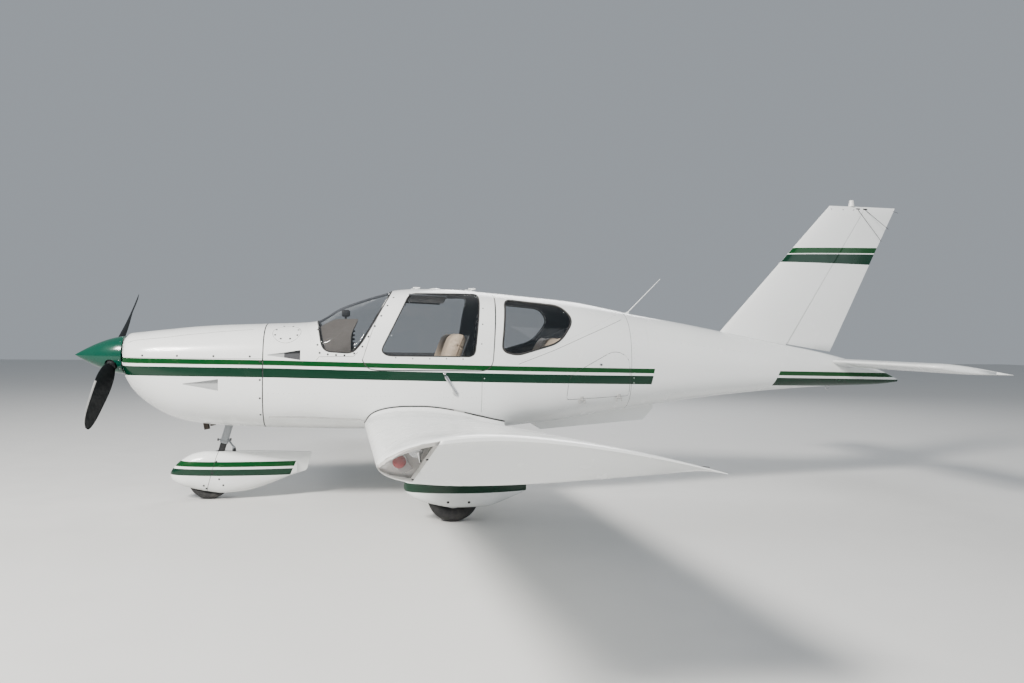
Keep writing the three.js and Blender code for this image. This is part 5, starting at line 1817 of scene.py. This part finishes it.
def make_main_legs():
    station, radius = MAIN_WHEEL["station"], MAIN_WHEEL["radius"]
    for name, side in SIDES.items():
        leg = rod("leg", main_leg(side, 0.790), main_leg(side, 0.318), 0.0238, 0.0200, 32)
        hub = (aft(station), main_leg(side, radius)[1], radius)
        knee = rod("knee", main_leg(side, 0.330), hub, 0.0155)
        knob = ball("knuckle", main_leg(side, 0.326), 0.0235)
        inner, outer = (side * (MAIN_WHEEL["y"] + out) for out in (-0.117, 0.118))
        axle = rod("axle", (aft(station), inner, radius), (aft(station), outer, radius),
                   AXLE_RADIUS)
        sleeve = rod("sleeve", main_leg(side, 0.56), main_leg(side, 0.50), 0.027, sides=32,
                     bevel=0.003)
        leg = join(f"main_leg_tube_{name}", leg, sleeve, knee, knob, axle)
        fix(leg, STRUT_PAINT, [f"main_leg_{name}"])


def make_nose_leg():
    sleeve = rod("sleeve", on_strut(0.86), on_strut(0.486), 0.0325, sides=48, bevel=0.002)
    collar = rod("collar", on_strut(0.505), on_strut(0.482), 0.0350, sides=48, bevel=0.002)
    brace = rod("brace", on_strut(0.85, 0.01), (aft(1.588), 0, 0.85), 0.024)
    lugs = [rod("lug", on_strut(0.512, start), on_strut(0.512, end), 0.0075, sides=16)
            for start, end in ((-0.030, -0.052), (0.030, 0.046))]
    heads = [rod("head", on_strut(0.512, start), on_strut(0.512, end), 0.012, sides=6)
             for start, end in ((-0.052, -0.062), (0.045, 0.055))]
    strut = join("nose_strut_sleeve", sleeve, collar, brace, *lugs)
    fix(strut, STRUT_PAINT, ["nose_strut"])
    fix(join("strut_bolt_heads", *heads), BLACK_PAINT)

    station, radius = NOSE_WHEEL["station"], NOSE_WHEEL["radius"]
    piston = rod("nose_piston", on_strut(0.4815), on_strut(0.375), 0.0275, sides=40)
    fit(piston, "nose_leg", BLACK_PAINT, ["nose_fork"])
    crown = block("crown", (aft(1.118), -0.076, 0.368), (aft(1.208), 0.076, 0.382), 0.004)
    arms = [rod("arm", (aft(1.150), y, 0.375), (aft(station), y, radius), 0.0080, sides=20)
            for y in (-0.076, 0.076)]
    axle = rod("axle", (aft(station), -0.098, radius), (aft(station), 0.098, radius), AXLE_RADIUS)
    nuts = [rod("nut", (aft(station), side * 0.088, radius), (aft(station), side * 0.104, radius),
                0.024, sides=6) for side in SIDES.values()]
    fork = join("nose_fork_arms", crown, *arms, axle, *nuts)
    fit(fork, "nose_leg", STRUT_PAINT)

    links = [rod("link", on_strut(0.505, 0.034, y), on_strut(0.444, 0.094, y), 0.0062, 0.0050, 16)
             for y in (-0.016, 0.016)]
    pin = rod("pin", *(on_strut(0.444, 0.094, y) for y in (-0.026, 0.026)), 0.0095, sides=16)
    fit(join("torque_link_upper", *links, pin), "nose_leg", STRUT_PAINT)
    pad = rod("torque_link_pad", on_strut(0.440, 0.098), on_strut(0.408, 0.108), 0.014, 0.018,
              bevel=0.002)
    fit(pad, "nose_leg", BLACK_PAINT)


# cushions: a crowned closed form, swelled by cloth under pressure, then seamed


PAD_CROWN = 0.020
PAD_CORNER = 0.045


def pad_form(name, width, depth, thick):
    """A soft-cornered block lying flat, its middle raised: X depth, Y width, Z thickness."""
    x, y, z = depth / 2, width / 2, thick / 2
    piece = block(name, (-x, -y, -z), (x, y, z))
    edit(piece, (bpy.ops.mesh.subdivide, dict(number_cuts=9)))
    for v in piece.data.vertices:
        u, w = abs(v.co.x) / x, abs(v.co.y) / y
        fall = (1 - u ** 4) * (1 - w ** 4)
        v.co.z *= 0.62 + 0.38 * fall
        if v.co.z > 0:
            v.co.z += PAD_CROWN * fall
        v.co.x *= 1 - PAD_CORNER * w ** 6
        v.co.y *= 1 - PAD_CORNER * u ** 6
    return piece


def swell(piece, cap):
    """Cloth under air pressure, held to a cap on how far any point moves."""
    modify(piece, "REMESH", mode="VOXEL", voxel_size=0.006)
    before = np.array([v.co[:] for v in piece.data.vertices])
    take(piece)
    cloth = piece.modifiers.new("cloth", "CLOTH")
    cloth.settings.use_pressure = True
    cloth.settings.uniform_pressure_force = 4.0
    cloth.settings.effector_weights.gravity = 0
    cloth.settings.quality = 3
    scene = bpy.context.scene
    for frame_number in range(1, 21):
        scene.frame_set(frame_number)
    graph = bpy.context.evaluated_depsgraph_get()
    after = np.array([v.co[:] for v in piece.evaluated_get(graph).data.vertices])
    piece.modifiers.remove(cloth)
    move = after - before
    far = np.linalg.norm(move, axis=1, keepdims=True)
    move *= np.minimum(1, cap / np.maximum(far, 1e-9))
    for v, place in zip(piece.data.vertices, before + move):
        v.co = place
    scene.frame_set(1)
    modify(piece, "SMOOTH", factor=0.5, iterations=3)
    return modify(piece, "SUBSURF", levels=1, render_levels=1)


def crease(piece, axis, at, depth, width):
    """Draws the cover's upper face in along a sewn line across an axis, on both sides of the
    middle where that axis is Y."""
    corners = piece.data.vertices
    points, normals = np.zeros(3 * len(corners)), np.zeros(3 * len(corners))
    corners.foreach_get("co", points)
    corners.foreach_get("normal", normals)
    points, normals = points.reshape(-1, 3), normals.reshape(-1, 3)
    along = points[:, axis] if axis == 0 else abs(points[:, axis])
    pull = depth * np.clip(1 - abs(along - at) / width, 0, 1) ** 2 * (points[:, 2] > 0)
    corners.foreach_set("co", (points - normals * pull[:, None]).ravel())
    piece.data.update()
    return piece


def piping(name, piece, height):
    """A welt round a cushion where a level plane meets the cover."""
    edge = copy_of(piece, name)
    edit(edge, (bpy.ops.mesh.bisect, dict(plane_co=(0, 0, height), plane_no=(0, 0, 1),
                                          clear_inner=True, clear_outer=True)))
    take(edge)
    bpy.ops.object.convert(target="CURVE")
    edge.data.bevel_depth = 0.0042
    edge.data.bevel_resolution = 3
    bpy.ops.object.convert(target="MESH")
    return soften(edge, 60)


def seat_pad(name, form, stretch, welt_height, channels, place, stands_for=()):
    """One cushion from a swelled form, with sewn channels, put in place with its welt."""
    pad = copy_of(form, name)
    pad.data.transform(Matrix.Diagonal((*stretch, 1)))
    for axis, at in channels:
        crease(pad, axis, at, 0.0115, 0.016)
    welt = piping(f"{name}_welt", pad, welt_height)
    for piece in (pad, welt):
        piece.data.transform(place)
    soften(pad, 80)
    fix(pad, LEATHER, stands_for)
    fix(welt, LEATHER_TRIM)


def tilted(station, y, z, degrees):
    """A frame whose X runs up a seat back that leans aft by some degrees from upright."""
    return (Matrix.Translation((aft(station), y, z))
            @ Matrix.Rotation(math.radians(degrees), 4, "Y"))


# Columns: axis across the sewn line, its place
SEAT_CHANNELS = [(0, 0.075), (0, -0.065), (1, 0.150)]
BACK_CHANNELS = [(0, 0.110), (0, -0.020), (1, 0.145)]


def make_seats():
    form = swell(pad_form("pad_form", 0.415, 0.420, 0.100), 0.022)
    flip = Matrix.Rotation(math.pi, 4, "X")
    for name, side in SIDES.items():
        y = side * 0.272
        seat_pad(f"seat_cushion_{name}", form, (0.93, 1.01, 1.05), 0.0216, SEAT_CHANNELS,
                 tilted(2.880, y, 1.010, -7), [f"front_seat_{name}"])
        seat_pad(f"seat_back_{name}", form, (1.07, 0.99, 1.1), 0.0225, BACK_CHANNELS,
                 tilted(3.163, y, 1.250, -71) @ flip)
        shell = block(f"seat_shell_{name}", (-0.215, -0.195, -0.012), (0.215, 0.195, 0.012), 0.010)
        shell.data.transform(tilted(3.238, y, 1.240, -71))
        fix(shell, SEAT_PLASTIC)
        pan = block("pan", (aft(2.700), y - 0.20, 0.905), (aft(3.085), y + 0.20, 0.950), 0.012)
        recline = rod("hub", (aft(3.075), y - 0.214, 0.985), (aft(3.075), y + 0.214, 0.985), 0.030,
                      sides=32, bevel=0.006)
        rails, posts = [], []
        for at in (y - 0.17, y + 0.17):
            rails.append(block("rail", (aft(2.72), at - 0.014, FLOOR + 0.0005),
                               (aft(3.12), at + 0.014, 0.762), 0.003))
            posts += [rod("post", (aft(s), at, 0.762), (aft(s), at, 0.906), 0.011)
                      for s in (2.76, 3.05)]
        fix(join(f"seat_frame_{name}", *rails, *posts), STEEL)
        fix(join(f"seat_pan_{name}", pan, recline), SEAT_PLASTIC)

        seat_pad(f"bench_cushion_{name}", form, (0.93, 1.09, 1.05), 0.0207, SEAT_CHANNELS,
                 tilted(3.780, side * 0.238, 1.010, -8), ["rear_bench"] if side == PORT else [])
        seat_pad(f"bench_back_{name}", form, (1.07, 1.03, 0.9), 0.0198, BACK_CHANNELS,
                 tilted(4.072, side * 0.222, 1.228, -66) @ flip)
    scrap(form)
    base = block("bench_base", (aft(3.585), -0.475, FLOOR + 0.0005), (aft(4.000), 0.475, 0.945),
                 0.015)
    fix(base, CARPET)


# instrument panel, controls and visors


def on_board(proud, y, z):
    """A place over the instrument board's face."""
    return (aft(2.302) + proud, y, z)


def round_dial(proud, y, z, radius, turn):
    return on_board(proud, y + radius * math.cos(turn), z + radius * math.sin(turn))


def make_dash():
    outline = rounded([
        (1.972, 1.440, 0.02), (2.060, 1.520, 0.05), (2.165, 1.572, 0.03), (2.362, 1.574, 0.02),
        (2.345, 1.540, 0.02), (2.300, 1.440, 0.04), (2.300, 1.290, 0.03), (2.240, 1.100, 0.03),
        (2.060, 1.060, 0.03), (1.990, 1.100, 0.03), (1.960, 1.300, 0.03),
    ], 5)
    dash = prism("dash_block", outline, -0.56, 0.56)
    within(dash, hull.solid("inner", 1.8, 2.5, 0.030))
    soften(round_edges(dash, 0.006, 3, 50))
    fix(dash, DASH, ["instrument_panel"])
    plate = block("instrument_board", on_board(-0.002, -0.50, 1.285), on_board(0.004, 0.50, 1.485),
                  0.002)
    fix(plate, PANEL_FACE)
    dials, faces, marks = [], [], []
    for columns in ((-0.43, -0.345, -0.26, -0.175), (0.22, 0.30, 0.38)):
        for z in (1.440, 1.352):
            for y in columns:
                ring = turned("bezel", [(0.034, -0.004), (0.039, -0.004), (0.040, 0.004),
                                        (0.036, 0.007), (0.034, 0.003)], (0, 0, 0), 32)
                ring.data.transform(Matrix.Translation(on_board(0.006, y, z))
                                    @ Matrix.Rotation(-math.pi / 2, 4, "Z"))
                dials.append(ring)
                faces.append(rod("dial", on_board(0.004, y, z), on_board(0.0055, y, z), 0.0345,
                                 sides=32))
                marks += [rod("tick", round_dial(0.0062, y, z, 0.024, math.tau * k / 12),
                              round_dial(0.0062, y, z, 0.031, math.tau * k / 12), 0.0009, sides=6)
                          for k in range(12)]
                marks.append(rod("needle", on_board(0.0068, y, z), round_dial(
                    0.0068, y, z, 0.024, 0.7 + 9 * y + 5 * z), 0.0014, 0.0005, 6))
    fix(join("dial_bezels", *dials), BLACK_PAINT)
    fix(join("dial_faces", *faces), DIAL)
    fix(join("dial_marks", *marks), PALE_MARKS)
    sets, knobs, windows = [], [], []
    for z in (1.312, 1.348, 1.384, 1.420, 1.456):
        sets.append(block("radio", on_board(0, -0.090, z), on_board(0.016, 0.090, z + 0.032),
                          0.002))
        knobs += [rod("knob", on_board(0.015, y, z + 0.016), on_board(0.030, y, z + 0.016), 0.0085,
                      0.0075, 16) for y in (-0.074, 0.074)]
        windows.append(block("window", on_board(0.0155, -0.055, z + 0.008),
                             on_board(0.0175, 0.055, z + 0.026)))
    fix(join("radio_sets", *sets), BLACK_PAINT)
    fix(join("radio_knobs", *knobs), SEAT_PLASTIC)
    fix(join("radio_windows", *windows), DIAL)
    for name, side in SIDES.items():
        y = side * 0.300
        shaft = rod("shaft", on_board(-0.02, y, 1.300), (aft(2.420), y, 1.315), 0.011, sides=20)
        hub = block("hub", (aft(2.405), y - 0.050, 1.295), (aft(2.445), y + 0.050, 1.345), 0.012)
        grips = []
        for way in (-1, 1):
            grips.append(rod("arm", (aft(2.425), y + way * 0.045, 1.310),
                             (aft(2.430), y + way * 0.118, 1.330), 0.012, sides=16))
            grips.append(rod("grip", (aft(2.430), y + way * 0.118, 1.322),
                             (aft(2.440), y + way * 0.135, 1.425), 0.014, 0.012, 20, bevel=0.003))
        fix(join(f"control_yoke_{name}", shaft, hub, *grips), SEAT_PLASTIC)
    compass = block("compass", (aft(2.215), -0.032, 1.600), (aft(2.285), 0.032, 1.662), 0.012)
    foot = rod("foot", (aft(2.250), 0, 1.572), (aft(2.250), 0, 1.606), 0.010, sides=16)
    lens = rod("lens", (aft(2.283), 0, 1.631), (aft(2.288), 0, 1.631), 0.022, sides=24)
    fix(join("compass_body", compass, foot), BLACK_PAINT)
    fix(lens, DIAL)
    quadrant = block("quadrant", (aft(2.28), -0.075, 1.120), (aft(2.40), 0.075, 1.250), 0.015)
    pedestal = block("pedestal", (aft(2.24), -0.085, 0.742), (aft(2.42), 0.085, 1.130), 0.015)
    fix(join("centre_pedestal", quadrant, pedestal), DASH)
    for y, colour in ((-0.045, BLACK_PAINT), (0.0, LEVER_BLUE), (0.045, LEVER_RED)):
        stem = rod("stem", (aft(2.395), y, 1.200), (aft(2.450), y, 1.262), 0.004, sides=12)
        fix(stem, STEEL)
        fix(ball(f"lever_knob_{int(1000 * y + 50)}", (aft(2.455), y, 1.268), 0.015), colour)


def make_visors():
    for name, side in SIDES.items():
        y0, y1 = sorted((side * 0.16, side * 0.44))
        visor = block(f"sun_visor_{name}", (-0.165, y0, -0.009), (0.165, y1, 0.009), 0.008, 4)
        visor.data.transform(Matrix.Translation((aft(2.945), 0, 1.716))
                             @ Matrix.Rotation(math.radians(2), 4, "Y")
                             @ Matrix.Rotation(math.radians(side * 9), 4, "X"))
        fix(visor, VISOR)
        stem = rod(f"visor_rod_{name}", (aft(2.80), side * 0.30, 1.722),
                   (aft(2.775), side * 0.30, 1.790), 0.005, sides=12)
        fix(stem, STEEL)


# hinges and the plain solids that keep their shape


def knuckle(name, body, origin, along, out, inward, start, end, way, finish, thick=0.0022,
            drop=0.0):
    """One leaf of a strap hinge: a rolled eye on the pin and its flat plate."""
    eye = rod("eye", origin + along * start, origin + along * end, 0.0062)
    half = (end - start) / 2
    plate = block("plate", (-half, -0.015, -thick), (half, 0.015, thick), 0.0012, 2)
    turn = Matrix((along, out * way, inward)).transposed().to_4x4()
    middle = origin + along * (start + end) / 2 + out * way * 0.018 + inward * drop
    plate.data.transform(Matrix.Translation(middle) @ turn)
    heads = buttons("heads", [(middle + along * shift - inward * thick, -inward)
                              for shift in (-half / 2, half / 2)], 0.0042, 0.0014)
    piece = join(name, eye, plate, heads)
    edit(piece, FACE_OUTWARDS)
    fit(soften(piece), body, finish)


def hinge(tag, mark, body, origin, axes, *looks):
    """A strap hinge: the moving leaf between two fixed ones."""
    knuckle(f"{tag}_{mark}", body, origin, *axes, -0.0155, 0.0155, 1, *looks)
    for j, (start, end) in enumerate(((-0.0315, -0.0165), (0.0165, 0.0315))):
        knuckle(f"{tag}_mount_{mark}_{j}", "airframe", origin, *axes, start, end, -1, *looks)


def make_hinges():
    for name, side in SIDES.items():
        axes = (Vector((1, 0, 0)), Vector((0, side, 0)), Vector((0, 0, -1)))
        for k, station in enumerate((2.870, 3.370)):
            hinge("door_hinge", f"{name}_{k}", f"cabin_door_{name}",
                  Vector((aft(station), side * HINGE_Y, HINGE_Z)), axes, WHITE_PAINT, 0.0036, 0.008)
    start, end = baggage_hinge_line()
    along = (end - start).normalized()
    inward = Vector((-along.y, along.x, 0)).normalized()
    up = along.cross(inward)
    for k, share in enumerate((0.24, 0.84)):
        hinge("baggage_hinge", k, "baggage_door", start.lerp(end, share), (along, up, inward),
              PALE_TAPE)


def finish_plain_nodes():
    """Packed solids whose shape is already right only get a finish."""
    for node, finish in (("engine_block", CAST_IRON), ("exhaust_pipes", HOT_STEEL),
                         ("whip_antenna", WHITE_PAINT), ("beacon", BEACON_CAP),
                         ("belly_strip", WHITE_PAINT)):
        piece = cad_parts[node]
        for slot in piece.material_slots:
            slot.material = finish


# light, camera, floor


def set_stage():
    floor = block("floor", (-40, -40, -0.1), (40, 40, 0.0))
    floor_finish = Finish("studio_floor", (0.62, 0.62, 0.61), 0.7)
    floor_finish.gloss((3,), 0.6, 0.8)
    dress(floor, floor_finish.made)
    world = bpy.data.worlds.new("studio")
    bpy.context.scene.world = world
    world.use_nodes = True
    glow = world.node_tree.nodes["Background"].inputs
    glow["Color"].default_value = (0.80, 0.87, 0.95, 1)
    glow["Strength"].default_value = 0.42
    lamps = (
        ("key", (-9.0, -8.5, 9.5), 3.0, 4600, (1.0, 0.965, 0.91)),
        ("fill", (7.0, -9.0, 5.0), 7.0, 260, (0.93, 0.96, 1.0)),
        ("rim", (3.0, 10.0, 8.0), 6.0, 700, (1.0, 1.0, 1.0)),
    )
    for name, place, size, power, colour in lamps:
        lamp = bpy.data.lights.new(name, "AREA")
        lamp.shape = "SQUARE"
        lamp.size = size
        lamp.energy = power
        lamp.color = colour
        held = bpy.data.objects.new(name, lamp)
        held.location = place
        aim = Vector((0, 0, 1.0)) - Vector(place)
        held.rotation_euler = aim.to_track_quat("-Z", "Y").to_euler()
        bpy.context.collection.objects.link(held)


def set_camera():
    """The photo's camera. An untouched one looks down: tilt raises it, from 90 to level."""
    yaw, tilt, roll = (math.radians(a) for a in (-10.54, 89.71, 0.60))
    camera = bpy.data.cameras.new("camera")
    camera.sensor_width = 36
    camera.lens = 833 / 1024 * camera.sensor_width
    held = bpy.data.objects.new("camera", camera)
    held.matrix_world = (
        Matrix.Translation((aft(2.351), -7.620, 1.432)) @ Matrix.Rotation(yaw, 4, "Z")
        @ Matrix.Rotation(tilt, 4, "X") @ Matrix.Rotation(roll, 4, "Z"))
    bpy.context.collection.objects.link(held)
    bpy.context.scene.camera = held


set_camera()
set_stage()
make_seats()
whole_skin = make_cabin()
make_cone(whole_skin)
make_cowl(whole_skin)
scrap(whole_skin)
make_outside_heads()
make_wings()
make_roots()
make_wing_marks()
make_fin()
make_fin_fittings()
make_tailplane()
make_propeller()
make_spats()
make_wheels()
make_main_legs()
make_nose_leg()
make_dash()
make_visors()
make_hinges()
finish_plain_nodes()
